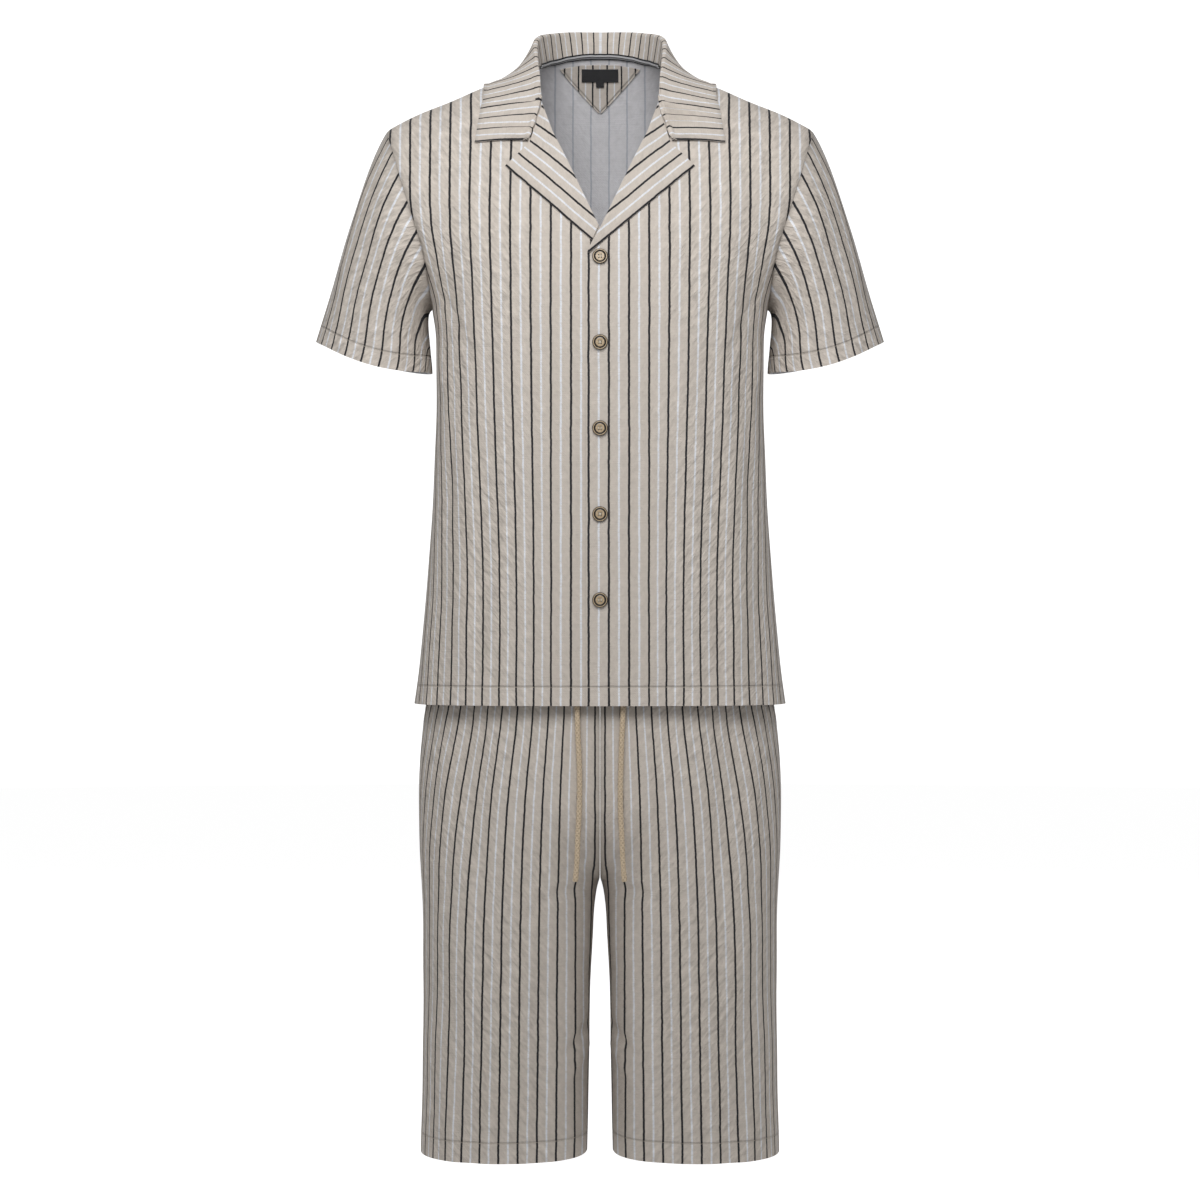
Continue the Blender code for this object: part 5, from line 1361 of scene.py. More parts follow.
def build_label(tree):
    """The bare woven label and its tab: a strip of columns with a longer middle."""
    x_lines = np.concatenate([
        np.linspace(-LABEL_HALF_WIDTH, -TAB_HALF_WIDTH, 10)[:-1],
        np.linspace(-TAB_HALF_WIDTH, TAB_HALF_WIDTH, 6),
        np.linspace(TAB_HALF_WIDTH, LABEL_HALF_WIDTH, 10)[1:],
    ])
    z_lines = np.concatenate([
        np.linspace(LABEL_TOP_Z, LABEL_BOTTOM_Z, 9),
        np.linspace(LABEL_BOTTOM_Z, TAB_BOTTOM_Z, 5)[1:],
    ])
    x, z = np.meshgrid(x_lines, z_lines)
    columns = len(x_lines)
    faces = grid_faces(*x.shape)
    on_tab = (faces[:, 0] % columns >= 9) & (faces[:, 0] % columns < 14)
    faces = faces[(faces[:, 0] // columns < 8) | on_tab]
    marks = plain_marks(x, x, z - TAB_BOTTOM_Z)
    frame_gap = np.minimum(LABEL_HALF_WIDTH - np.abs(x), np.abs(LABEL_TOP_Z - z))
    # The label's border: raised in its finish and drawn lighter there as a painted highlight.
    marks["seam"] = np.exp(-frame_gap / 0.0010)
    obj, _ = lining_wall(
        "neck_label_cloth", back_places(x, z), faces, tree, LABEL_CLEAR, marks, "label_weave", "woven_label", "neck_label"
    )


def build_tape():
    """The tape over the back neck seam, half on the back and half on the collar's stand."""
    body = shirt_body()
    tree, back_inside = body["tree"], tree_of(body["back"]["inside"])
    rows = []
    for crest, _, seam in collar_lines(COLLAR_COLUMNS, tree):
        if seam[1] < TAPE_FROM_Y:
            continue
        _, normal, _, _ = tree.find_nearest(Vector(seam))
        up = unit(crest - seam)
        low = seam - np.array([0.0, 0.0, TAPE_HALF_HEIGHT])
        low = at_height(low[None], back_inside, INSIDE_CLEAR + TRIM_WALL)[0]
        middle = seam - np.array(normal) * (TAPE_CLEAR + TRIM_WALL)
        high = middle + up * TAPE_HALF_HEIGHT
        share = np.linspace(0.0, 1.0, 5)[:, None]
        rows.append(np.concatenate([low * (1 - share) + middle * share, (middle * (1 - share) + high * share)[1:]]))
    grid = np.array(rows)
    faces = grid_faces(*grid.shape[:2])
    normals = vertex_normals(grid.reshape(-1, 3), faces)
    along = np.repeat(lengths_along(grid[:, 4])[:, None], grid.shape[1], axis=1)
    height = np.repeat(np.linspace(0.0, 1.0, grid.shape[1])[None], len(grid), axis=0)
    marks = plain_marks(height, along, along)
    marks["turned"] = normals[len(normals) // 2, 1] > 0
    obj = cloth_wall("neck_tape_cloth", grid, marks, TRIM_WALL, "neck_tape_bands", "neck_tape_bands", "neck_tape", "neck_tape")


# Buttons and their thread


def lathe(name, profile, segments):
    """A closed turned form round z from its profile of radius and height, first and last on the axis."""
    made = bmesh.new()
    rings = []
    for radius, height in profile:
        if radius < 1e-7:
            rings.append([made.verts.new((0.0, 0.0, height))])
            continue
        turn = [2 * math.pi * k / segments for k in range(segments)]
        rings.append([made.verts.new((radius * math.cos(a), radius * math.sin(a), height)) for a in turn])
    for low, high in zip(rings[:-1], rings[1:]):
        for k in range(segments):
            ahead = (k + 1) % segments
            if len(low) == 1:
                made.faces.new((low[0], high[ahead], high[k]))
            elif len(high) == 1:
                made.faces.new((low[k], low[ahead], high[0]))
            else:
                made.faces.new((low[k], low[ahead], high[ahead], high[k]))
    bmesh.ops.recalc_face_normals(made, faces=made.faces)
    mesh = bpy.data.meshes.new(name)
    made.to_mesh(mesh)
    made.free()
    return mesh


def button_mesh():
    """A fine four-hole button lying on z = 0 with its dished face up."""
    dish = BUTTON_THICKNESS - BUTTON_DISH
    # radius, height
    profile = (
        (0.0, 0.0),
        (BUTTON_RADIUS - 0.0014, 0.0),
        (BUTTON_RADIUS - 0.0005, 0.0006),
        (BUTTON_RADIUS - 0.0001, 0.0013),
        (BUTTON_RADIUS, 0.0019),
        (BUTTON_RADIUS - 0.0002, 0.0025),
        (BUTTON_RADIUS - 0.0007, 0.0029),
        (BUTTON_RADIUS - 0.0012, BUTTON_THICKNESS),
        (BUTTON_RADIUS - 0.0017, 0.0029),
        (BUTTON_RADIUS - 0.0021, 0.0022),
        (BUTTON_RADIUS - 0.0027, 0.0019),
        (BUTTON_RADIUS - 0.0032, 0.0021),
        (BUTTON_RADIUS - 0.0038, dish + 0.0001),
        (BUTTON_RADIUS - 0.0048, dish),
        (0.0, dish),
    )
    turned = bpy.data.objects.new("button_turned", lathe("button_turned", profile, 48))
    holes = bmesh.new()
    for k in range(4):
        angle = math.pi / 4 + k * math.pi / 2
        at = Vector((math.cos(angle), math.sin(angle), 0.0)) * BUTTON_HOLE_SPREAD
        at.z = BUTTON_THICKNESS / 2
        bmesh.ops.create_cone(
            holes, cap_ends=True, segments=14, radius1=BUTTON_HOLE_RADIUS, radius2=BUTTON_HOLE_RADIUS,
            depth=BUTTON_THICKNESS * 2, matrix=Matrix.Translation(at),
        )
    hole_mesh = bpy.data.meshes.new("button_holes")
    holes.to_mesh(hole_mesh)
    holes.free()
    cutter = bpy.data.objects.new("button_holes", hole_mesh)
    cut = turned.modifiers.new("holes", "BOOLEAN")
    cut.object = cutter
    for obj in (turned, cutter):
        bpy.context.scene.collection.objects.link(obj)
    graph = bpy.context.evaluated_depsgraph_get()
    made = bpy.data.meshes.new_from_object(turned.evaluated_get(graph))
    for obj in (turned, cutter):
        bpy.data.objects.remove(obj)
    made.materials.clear()
    made.materials.append(bpy.data.materials["button_horn_finish"])
    made.shade_smooth()
    made.set_sharp_from_angle(angle=math.radians(40))
    return made


def tube(name, path, radius, around, taper=None):
    """A closed tube along a path, with its turn and its length as its stripe and up marks."""
    path = np.asarray(path, dtype=float)
    ahead = unit(np.gradient(path, axis=0))
    side = unit(np.cross(ahead[0], (0.0, 0.0, 1.0) if abs(ahead[0][2]) < 0.9 else (0.0, 1.0, 0.0)))
    travelled = lengths_along(path)
    points, rings = [], []
    for k, (at, way) in enumerate(zip(path, ahead)):
        side = unit(side - way * np.dot(side, way))
        other = np.cross(way, side)
        here = radius * (taper[k] if taper is not None else 1.0)
        ring = []
        for j in range(around):
            turn = 2 * math.pi * j / around
            ring.append(len(points))
            points.append(at + here * (side * math.cos(turn) + other * math.sin(turn)))
        rings.append(ring)
    faces, pairs = [], []
    for k in range(len(rings) - 1):
        for j in range(around):
            nxt = (j + 1) % around
            faces.append((rings[k][j], rings[k][nxt], rings[k + 1][nxt], rings[k + 1][j]))
            low, high = travelled[k], travelled[k + 1]
            pairs += [(j / around, low), ((j + 1) / around, low), ((j + 1) / around, high), (j / around, high)]
    for ring, turned, at in ((rings[0], True, travelled[0]), (rings[-1], False, travelled[-1])):
        face = ring[::-1] if turned else ring
        faces.append(tuple(face))
        pairs += [(0.5, at)] * around
    mesh = bpy.data.meshes.new(name)
    mesh.from_pydata([tuple(p) for p in points], [], faces)
    layer = mesh.uv_layers.new(name="cloth")
    layer.data.foreach_set("uv", np.array(pairs, dtype=np.float32).ravel())
    mesh.shade_smooth()
    mesh.set_sharp_from_angle(angle=math.radians(60))
    return mesh


def thread_mesh(crossed):
    """The thread through a button's holes: two stitches, side by side or crossed."""
    reach = BUTTON_HOLE_SPREAD / math.sqrt(2)
    top = BUTTON_THICKNESS - BUTTON_DISH
    pairs = (((-1, 1), (1, -1)), ((-1, -1), (1, 1))) if crossed else (((-1, 1), (-1, -1)), ((1, 1), (1, -1)))
    joined = bmesh.new()
    for k, (start, end) in enumerate(pairs):
        start, end = np.array(start) * reach, np.array(end) * reach
        share = np.linspace(0.0, 1.0, 13)
        flat = start + (end - start) * share[:, None]
        rise = top + 0.00035 + 0.00030 * k - 0.0022 * np.abs(2 * share - 1.0) ** 6
        path = np.concatenate([flat, rise[:, None]], axis=1)
        part = tube("stitch", path, 0.00042, 8)
        joined.from_mesh(part)
        bpy.data.meshes.remove(part)
    mesh = bpy.data.meshes.new("button_thread")
    joined.to_mesh(mesh)
    joined.free()
    mesh.materials.append(bpy.data.materials["button_thread"])
    mesh.shade_smooth()
    return mesh


def button_place(k):
    z = BUTTON_FIRST_Z - k * BUTTON_SPACING
    at = on_cloth(0.0, z, -1, LAYER_GAP, OVERLAP_LIFT)
    out = unit(on_cloth(0.0, z, -1, 0.01, OVERLAP_LIFT) - at)
    facing = Vector(out)
    side = Vector((0.0, 0.0, 1.0)).cross(facing).normalized()
    up = facing.cross(side)
    turn = Matrix((side, up, facing)).transposed().to_4x4()
    return Matrix.Translation(Vector(at)) @ turn


def build_buttons():
    mesh = button_mesh()
    for k in range(BUTTON_COUNT):
        thread = bpy.data.objects.new(f"button_thread_{k + 1}", thread_mesh(k in CROSSED_THREADS))
        for name, made, slot, nodes in (
            (f"button_horn_{k + 1}", mesh.copy(), "button_horn", [f"button_{k + 1}"]),
            (thread.name, None, "drawstring_cotton", []),
        ):
            obj = thread if made is None else bpy.data.objects.new(name, made)
            obj.matrix_world = button_place(k) @ Matrix.Rotation(BUTTON_TURNS[k], 4, "Z")
            put(obj, slot, *nodes)


# Drawstring, waistband and shorts


def fine_route(which):
    route = cord_route(which)
    steps = lengths_along(route)
    at = np.linspace(0.0, steps[-1], CORD_FINE_POINTS)
    return np.stack([smooth_value(at, steps, route[:, k]) for k in range(3)], axis=1)


def build_drawstring(which):
    path = fine_route(which)
    away = lengths_along(path)
    from_end = away[-1] - away
    taper = 1.0 - 0.06 * np.exp(-(((from_end - 0.016) / 0.004) ** 2)) + 0.05 * np.exp(-((from_end / 0.008) ** 2))
    taper = np.where(from_end < 0.0008, 0.86, taper)
    mesh = tube(f"drawstring_cord_{which}", path, CORD_RADIUS * 0.97, 20, taper)
    mesh.materials.append(bpy.data.materials["drawstring_cotton_finish"])
    obj = bpy.data.objects.new(f"drawstring_cord_{which}", mesh)
    put(obj, "drawstring_cotton", f"drawstring_{which}")


def shorts_fine_levels():
    """The solid's levels with more between them, each with how far its section has turned."""
    levels = [(z, 0.0) for z in between(SHORTS_ROWS_ABOVE + (RISE_TURN_Z,), 8)[:-1]]
    for angle in np.radians(between(RISE_ANGLES, 7)):
        levels.append((RISE_TURN_Z + (CROTCH_Z - RISE_TURN_Z) * math.sin(angle), 1.0 - math.cos(angle)))
    crotch = len(levels) - 1
    return levels + [(z, 1.0) for z in between((CROTCH_Z,) + SHORTS_ROWS_BELOW, 9)[1:]], crotch


def shorts_half(side):
    panel = "front" if side < 0 else "back"
    levels, crotch = shorts_fine_levels()
    grid = np.array([shorts_row(side, z, share, SHORTS_FINE_COLUMNS) for z, share in levels])
    faces = grid_faces(*grid.shape[:2])
    flat = grid.reshape(-1, 3)
    normals = vertex_normals(flat, faces)
    turned = np.sum(normals * (flat - np.array([0.09, 0.0, -0.9]))) < 0
    normals = normals.reshape(grid.shape) * (-1.0 if turned else 1.0)
    normals[:, -1, 1] = 0.0
    normals[:crotch, 0, 0] = 0.0
    normals[crotch, 0] = (0.0, 0.0, -1.0)
    normals[crotch + 1 :, 0, 1] = 0.0
    normals = unit(normals)
    from_inner, from_outer = edge_distance(grid)
    x, z = grid[..., 0], grid[..., 2]
    steps = np.diff(grid, axis=1)
    steps[..., 1] *= 0.30 + 0.70 * smooth_step(0.055, 0.115, x[:, 1:])
    along = np.concatenate([np.zeros((len(grid), 1)), np.cumsum(np.linalg.norm(steps, axis=-1), axis=1)], axis=1)
    here = np.array([np.interp(SHORTS_ANCHOR_X, row, far) for row, far in zip(x, along)])
    across = SHORTS_ANCHOR + along - here[:, None]
    if side < 0:
        stripe = (across - SHORTS_FIRST_LINE) / read_table(SHORTS_SPACING, z, 1)
    else:
        stripe = (across - SHORTS_FIRST_LINE) / BACK_SPACING
    marks = cloth_marks(grid, across, stripe, SHORTS_HEM_Z, HEM_DEPTH["leg"])
    marks["turned"] = turned
    relief = crease_height(panel_creases(f"shorts {panel}"), x, z) + slow_unevenness(x, z, 3.0 + side)
    gathers = GATHER_HEIGHT * smooth_step(GATHER_END_Z, SHORTS_TOP_Z, z)
    relief += gathers * np.sin(across / 0.0145 * 2 * math.pi + 1.2 * np.sin(across * 47.0))
    grid, near = sunk_seams(grid, normals, relief, np.array([from_inner, from_outer]))
    # Painted shade near the inner and outer seams.
    marks["seam"] = np.exp(-near / 0.004)
    marks["crinkle"] = 0.45 + 0.55 * smooth_step(0.03, 0.09, across)
    return {"grid": grid, "normals": normals, "marks": marks}


def build_shorts():
    for side, name in ((-1, "front"), (1, "back")):
        half = shorts_half(side)
        for hand, panel in (("left", half), ("right", other_side(half))):
            obj = cloth_wall(
                f"shorts_cloth_{name}_{hand}", panel["grid"], panel["marks"], WALL, "cloth_outside",
                "cloth_inside", "striped_cloth", f"shorts_{name}_{hand}", normals=panel["normals"],
            )


def build_waistband():
    heights = np.linspace(BAND_TOP_Z, SHORTS_TOP_Z + SEAM_GAP, 15)
    rings = []
    for z in heights:
        ring = band_ring(z)
        ahead = np.concatenate([ring, ring[:1]])
        rings.append(spaced_along(ahead, np.linspace(0.0, 1.0, BAND_FINE_COLUMNS + 1))[:-1])
    grid = np.array(rings)
    faces = grid_faces(*grid.shape[:2], wrap=True)
    flat = grid.reshape(-1, 3)
    normals = vertex_normals(flat, faces)
    turned = np.sum(normals * (flat - flat.mean(axis=0))) < 0
    normals = normals.reshape(grid.shape) * (-1.0 if turned else 1.0)
    normals[..., 2] = 0.0
    normals = unit(normals)
    around = np.linspace(0.0, 2 * math.pi, BAND_FINE_COLUMNS, endpoint=False)
    ripple = np.sin(around * 64 + 1.4 * np.sin(around * 5)) * (0.7 + 0.3 * np.sin(around * 11 + 1.0))
    tunnels = 0.4 + 0.6 * np.abs(np.sin(np.linspace(0.0, 3 * math.pi, len(heights))))
    grid = grid + normals * (BAND_RIPPLE * (ripple[None] - 1.0) * tunnels[:, None])[..., None]
    length = np.repeat(lengths_along(flat[:BAND_FINE_COLUMNS])[None], len(heights), axis=0)
    marks = cloth_marks(grid, length, length / BACK_SPACING, SHORTS_TOP_Z, 0.0)
    marks["turned"] = turned
    # Painted shade along the seam at the band's foot.
    marks["seam"] = 0.3 * np.exp(-np.abs(grid[..., 2] - SHORTS_TOP_Z) / 0.003)
    obj = cloth_wall(
        "waistband_cloth", grid, marks, WALL, "cloth_outside", "cloth_inside", "striped_cloth", "waistband",
        wrap=True, normals=normals,
    )


def build_eyelets():
    # radius, height
    profile = (
        (EYELET_HOLE, 0.0),
        (EYELET_HOLE - 0.0001, 0.0006),
        (EYELET_HOLE + 0.0004, 0.0011),
        (EYELET_HOLE + 0.0011, EYELET_THICKNESS),
        (EYELET_RADIUS - 0.0007, 0.0009),
        (EYELET_RADIUS, 0.0002),
        (EYELET_RADIUS - 0.0001, 0.0),
    )
    for name, x in (("left", EYELET_X), ("right", -EYELET_X)):
        made = bmesh.new()
        rings = []
        for radius, height in profile:
            turn = [2 * math.pi * k / 40 for k in range(40)]
            rings.append([made.verts.new((radius * math.cos(a), radius * math.sin(a), height)) for a in turn])
        rings.append(rings[0])
        for low, high in zip(rings[:-1], rings[1:]):
            for k in range(40):
                ahead = (k + 1) % 40
                made.faces.new((low[k], low[ahead], high[ahead], high[k]))
        bmesh.ops.recalc_face_normals(made, faces=made.faces)
        mesh = bpy.data.meshes.new(f"eyelet_ring_{name}")
        made.to_mesh(mesh)
        made.free()
        mesh.materials.append(bpy.data.materials["eyelet_metal_finish"])
        mesh.shade_smooth()
        obj = bpy.data.objects.new(mesh.name, mesh)
        obj.matrix_world = Matrix.Translation((x, band_front(x) - EYELET_CLEAR, EYELET_Z)) @ Matrix.Rotation(
            math.radians(90), 4, "X"
        )
        put(obj, "eyelet_metal", f"eyelet_{name}")


# Finishes


class Board:
    """Adds nodes to one tree and joins them."""

    def __init__(self, tree):
        self.tree = tree

    def node(self, kind, **settings):
        made = self.tree.nodes.new(kind)
        for key, value in settings.items():
            setattr(made, key, value)
        return made

    def feed(self, socket, value):
        if isinstance(value, bpy.types.NodeSocket):
            self.tree.links.new(value, socket)
        else:
            socket.default_value = value

    def maths(self, operation, *values, clamp=False):
        made = self.node("ShaderNodeMath", operation=operation, use_clamp=clamp)
        for socket, value in zip(made.inputs, values):
            self.feed(socket, value)
        return made.outputs[0]

    def vector(self, x, y, z=0.0):
        made = self.node("ShaderNodeCombineXYZ")
        for socket, value in zip(made.inputs, (x, y, z)):
            self.feed(socket, value)
        return made.outputs[0]

    def noise(self, vector, scale, detail=2.0, roughness=0.5):
        made = self.node("ShaderNodeTexNoise")
        self.feed(made.inputs["Vector"], vector)
        self.feed(made.inputs["Scale"], scale)
        made.inputs["Detail"].default_value = detail
        made.inputs["Roughness"].default_value = roughness
        return made.outputs[0]

    def blend(self, share, first, second, kind="MIX"):
        made = self.node("ShaderNodeMix", data_type="RGBA", blend_type=kind)
        self.feed(made.inputs[0], share)
        self.feed(made.inputs[6], first)
        self.feed(made.inputs[7], second)
        return made.outputs[2]

    def step(self, value, low, high, first=0.0, last=1.0):
        """A smooth step of a value from low to high."""
        made = self.node("ShaderNodeMapRange", interpolation_type="SMOOTHSTEP")
        for key, given in zip(("Value", "From Min", "From Max", "To Min", "To Max"), (value, low, high, first, last)):
            self.feed(made.inputs[key], given)
        return made.outputs["Result"]

    def attribute(self, name):
        return self.node("ShaderNodeAttribute", attribute_name=name).outputs["Fac"]

    def group(self, name, **values):
        made = self.node("ShaderNodeGroup", node_tree=bpy.data.node_groups[name])
        for key, value in values.items():
            self.feed(made.inputs[key.replace("_", " ").capitalize()], value)
        return made


def new_group(name, inputs, outputs):
    """A shader node group with its sockets, and its two end nodes."""
    tree = bpy.data.node_groups.new(name, "ShaderNodeTree")
    kinds = {"value": "NodeSocketFloat", "colour": "NodeSocketColor"}
    for key, kind, default in inputs:
        made = tree.interface.new_socket(name=key, in_out="INPUT", socket_type=kinds[kind])
        made.default_value = default
    for key, kind in outputs:
        tree.interface.new_socket(name=key, in_out="OUTPUT", socket_type=kinds[kind])
    board = Board(tree)
    start, end = board.node("NodeGroupInput"), board.node("NodeGroupOutput")
    return board, start.outputs, end.inputs


def line_group():
    """Dark lines at whole stripe numbers and light ones at halves, wandering a little."""
    board, given, out = new_group(
        "Woven lines",
        (
            ("Stripe", "value", 0.0), ("Across", "value", 0.0), ("Up", "value", 0.0),
            ("Ground", "colour", (0.5, 0.5, 0.5, 1.0)), ("Dark", "colour", (0.01, 0.01, 0.01, 1.0)),
            ("Light", "colour", (0.8, 0.8, 0.8, 1.0)), ("Dark half", "value", 0.045),
            ("Light half", "value", 0.055), ("Wander", "value", 0.03), ("Soft", "value", 0.010),
        ),
        (("Colour", "colour"), ("Dark line", "value"), ("Light line", "value")),
    )
    place = board.vector(board.maths("MULTIPLY", given["Across"], 16.0), board.maths("MULTIPLY", given["Up"], 42.0))
    slow = board.maths("SUBTRACT", board.noise(place, 1.0, 2.0), 0.5)
    fine_place = board.vector(board.maths("MULTIPLY", given["Across"], 90.0), board.maths("MULTIPLY", given["Up"], 260.0))
    fine = board.maths("SUBTRACT", board.noise(fine_place, 1.0, 1.0), 0.5)
    shift = board.maths("ADD", slow, board.maths("MULTIPLY", fine, 0.40))
    at = board.maths("ADD", given["Stripe"], board.maths("MULTIPLY", shift, given["Wander"]))
    turn = board.maths("FRACT", board.maths("ADD", at, 0.5))
    away = board.maths("ABSOLUTE", board.maths("SUBTRACT", turn, 0.5))
    middle = board.maths("SUBTRACT", 0.5, away)
    masks = []
    for distance, half in ((away, given["Dark half"]), (middle, given["Light half"])):
        low = board.maths("SUBTRACT", half, given["Soft"])
        high = board.maths("ADD", half, given["Soft"])
        masks.append(board.step(distance, low, high, 1.0, 0.0))
    dark, light = masks
    thread = board.noise(fine_place, 2.2, 1.0)
    light_share = board.maths("MULTIPLY", light, board.step(thread, 0.25, 0.55, 0.55, 1.0))
    colour = board.blend(light_share, given["Ground"], given["Light"])
    colour = board.blend(board.maths("MULTIPLY", dark, 0.98), colour, given["Dark"])
    board.feed(out["Colour"], colour)
    board.feed(out["Dark line"], dark)
    board.feed(out["Light line"], light)


def crinkle_group():
    """The seersucker's small slanting puckers and, beneath them, its plain weave, as a height and a Shade; the Shade is
    painted shade of the puckers and weave, with uneven yarn tone from the grain and slubs.
    """
    board, given, out = new_group(
        "Seersucker crinkle",
        (("Across", "value", 0.0), ("Up", "value", 0.0), ("Strength", "value", 1.0), ("Thread", "value", 0.0016)),
        (("Height", "value"), ("Shade", "value")),
    )
    across, up = given["Across"], given["Up"]
    over = board.maths("SUBTRACT", board.maths("MULTIPLY", across, 0.80), board.maths("MULTIPLY", up, 0.60))
    down = board.maths("ADD", board.maths("MULTIPLY", across, 0.60), board.maths("MULTIPLY", up, 0.80))
    slant = board.vector(board.maths("MULTIPLY", over, 210.0), board.maths("MULTIPLY", down, 70.0))
    pucker = board.maths("SUBTRACT", board.noise(slant, 1.0, 2.0, 0.55), 0.5)
    cross = board.vector(board.maths("MULTIPLY", across, 190.0), board.maths("MULTIPLY", up, 150.0), 3.0)
    grain = board.maths("SUBTRACT", board.noise(cross, 1.0, 2.0, 0.6), 0.5)
    rate = board.maths("DIVIDE", 2 * math.pi, given["Thread"])
    warp = board.maths("SINE", board.maths("MULTIPLY", across, rate))
    weft = board.maths("SINE", board.maths("MULTIPLY", up, rate))
    weave = board.maths("MULTIPLY", warp, weft)
    slub_place = board.vector(board.maths("MULTIPLY", across, 60.0), board.maths("MULTIPLY", up, 900.0), 1.0)
    slub = board.maths("SUBTRACT", board.noise(slub_place, 1.0, 1.0), 0.5)
    patch_place = board.vector(board.maths("MULTIPLY", across, 14.0), board.maths("MULTIPLY", up, 9.0), 7.0)
    patch = board.step(board.noise(patch_place, 1.0, 2.0), 0.30, 0.62, 0.45, 1.0)
    strength = board.maths("MULTIPLY", given["Strength"], patch)
    puckers = board.maths("MULTIPLY", pucker, strength)
    high = board.maths("MULTIPLY", puckers, 2.4)
    high = board.maths("ADD", high, board.maths("MULTIPLY", grain, 0.55))
    high = board.maths("ADD", high, board.maths("MULTIPLY", weave, 0.10))
    high = board.maths("ADD", high, board.maths("MULTIPLY", slub, 0.30))
    # Painted shade: the colour follows the height of the puckers and weave; the grain and slub terms add uneven yarn
    # tone.
    shade = board.maths("ADD", board.maths("MULTIPLY", puckers, 0.85), board.maths("MULTIPLY", grain, 0.22))
    shade = board.maths("ADD", shade, board.maths("MULTIPLY", weave, 0.035))
    shade = board.maths("ADD", shade, board.maths("MULTIPLY", slub, 0.14))
    board.feed(out["Height"], high)
    board.feed(out["Shade"], board.maths("ADD", shade, 1.0))


def stitch_group():
    """A row of stitches along the line where the signed distance is zero."""
    board, given, out = new_group(
        "Stitch row",
        (("Distance", "value", 1.0), ("Along", "value", 0.0), ("Length", "value", 0.0030)),
        (("Thread", "value"), ("Hollow", "value"), ("Below", "value")),
    )
    away = board.maths("ABSOLUTE", given["Distance"])
    on_line = board.step(away, 0.00030, 0.00070, 1.0, 0.0)
    beat = board.maths("FRACT", board.maths("DIVIDE", given["Along"], given["Length"]))
    dash = board.step(board.maths("ABSOLUTE", board.maths("SUBTRACT", beat, 0.5)), 0.34, 0.42, 1.0, 0.0)
    board.feed(out["Thread"], board.maths("MULTIPLY", on_line, dash))
    # Hollow: the dip along the stitches, for the bump and for painted shade in the cloth's colour.
    board.feed(out["Hollow"], board.step(away, 0.0002, 0.0022, 1.0, 0.0))
    board.feed(out["Below"], board.step(given["Distance"], -0.0006, 0.0006, 1.0, 0.0))


def cloth_places(board):
    """The stripe number and the height above the hem, from the cloth's own map."""
    split = board.node("ShaderNodeSeparateXYZ")
    board.feed(split.inputs[0], board.node("ShaderNodeUVMap", uv_map="cloth").outputs[0])
    return split.outputs[0], split.outputs[1]


def shader_of(material, roughness, sheen=0.0, metallic=0.0, specular=0.5):
    material.use_nodes = True
    shader = material.node_tree.nodes["Principled BSDF"]
    shader.inputs["Roughness"].default_value = roughness
    shader.inputs["Sheen Weight"].default_value = sheen
    shader.inputs["Metallic"].default_value = metallic
    shader.inputs["Specular IOR Level"].default_value = specular
    return Board(material.node_tree), shader


def raise_bump(board, shader, height, distance, strength=1.0):
    bump = board.node("ShaderNodeBump")
    bump.inputs["Distance"].default_value = distance
    bump.inputs["Strength"].default_value = strength
    board.feed(bump.inputs["Height"], height)
    board.feed(shader.inputs["Normal"], bump.outputs[0])


def shaded(board, colour, share):
    made = board.node("ShaderNodeVectorMath", operation="SCALE")
    board.feed(made.inputs[0], colour)
    board.feed(made.inputs["Scale"], share)
    return made.outputs[0]


def make_cloth(material, ground, dark, light, dark_half, light_half, stitches):
    """Striped seersucker with its crinkle, weave and hem stitches, and painted shade near the seams, at the edges and
    in the stitches' hollow.
    """
    look = bpy.context.scene.lounge_cloth
    board, shader = shader_of(material, 0.88, sheen=0.03, specular=0.18)
    stripe, up = cloth_places(board)
    across = board.attribute("across")
    lines = board.group(
        "Woven lines", stripe=stripe, across=across, up=up, ground=tuple(ground), dark=tuple(dark),
        light=tuple(light), dark_half=dark_half, light_half=light_half, wander=look.line_wander,
    )
    crinkle = board.group(
        "Seersucker crinkle", across=across, up=up, strength=board.attribute("crinkle"), thread=look.thread_spacing
    )
    # Painted shade: the seam mark darkens the cloth by up to 30 per cent near its seams and edges, and the crinkle's
    # Shade is painted shade of the puckers.
    seam = board.attribute("seam")
    share = board.maths("MULTIPLY", crinkle.outputs["Shade"], board.maths("SUBTRACT", 1.0, board.maths("MULTIPLY", seam, 0.30)))
    height = crinkle.outputs["Height"]
    colour = lines.outputs["Colour"]
    if stitches:
        along = board.maths("ADD", across, up)
        row = board.group("Stitch row", distance=board.attribute("stitch"), along=along)
        # Painted shade: the cloth is up to a tenth darker in the hollow along the stitches; the hem band below them is
        # drawn a little lighter.
        share = board.maths("MULTIPLY", share, board.maths("SUBTRACT", 1.0, board.maths("MULTIPLY", row.outputs["Hollow"], 0.10)))
        share = board.maths("MULTIPLY", share, board.maths("ADD", 1.0, board.maths("MULTIPLY", row.outputs["Below"], 0.035)))
        height = board.maths("SUBTRACT", height, board.maths("MULTIPLY", row.outputs["Hollow"], 0.8))
        colour = shaded(board, colour, share)
        colour = board.blend(board.maths("MULTIPLY", row.outputs["Thread"], 0.55), colour, tuple(look.thread))
    else:
        colour = shaded(board, colour, share)
    board.feed(shader.inputs["Base Color"], colour)
    rough = board.maths("SUBTRACT", 0.92, board.maths("MULTIPLY", lines.outputs["Dark line"], 0.16))
    board.feed(shader.inputs["Roughness"], rough)
    raise_bump(board, shader, height, look.crinkle_depth)


def make_outside(material):
    look = bpy.context.scene.lounge_cloth
    make_cloth(material, look.ground, look.dark_line, look.light_line, look.dark_half, look.light_half, True)


def make_inside(material):
    look = bpy.context.scene.lounge_cloth
    make_cloth(
        material, look.inside_ground, look.inside_line, look.inside_ground, look.dark_half * 0.8, look.light_half, False
    )


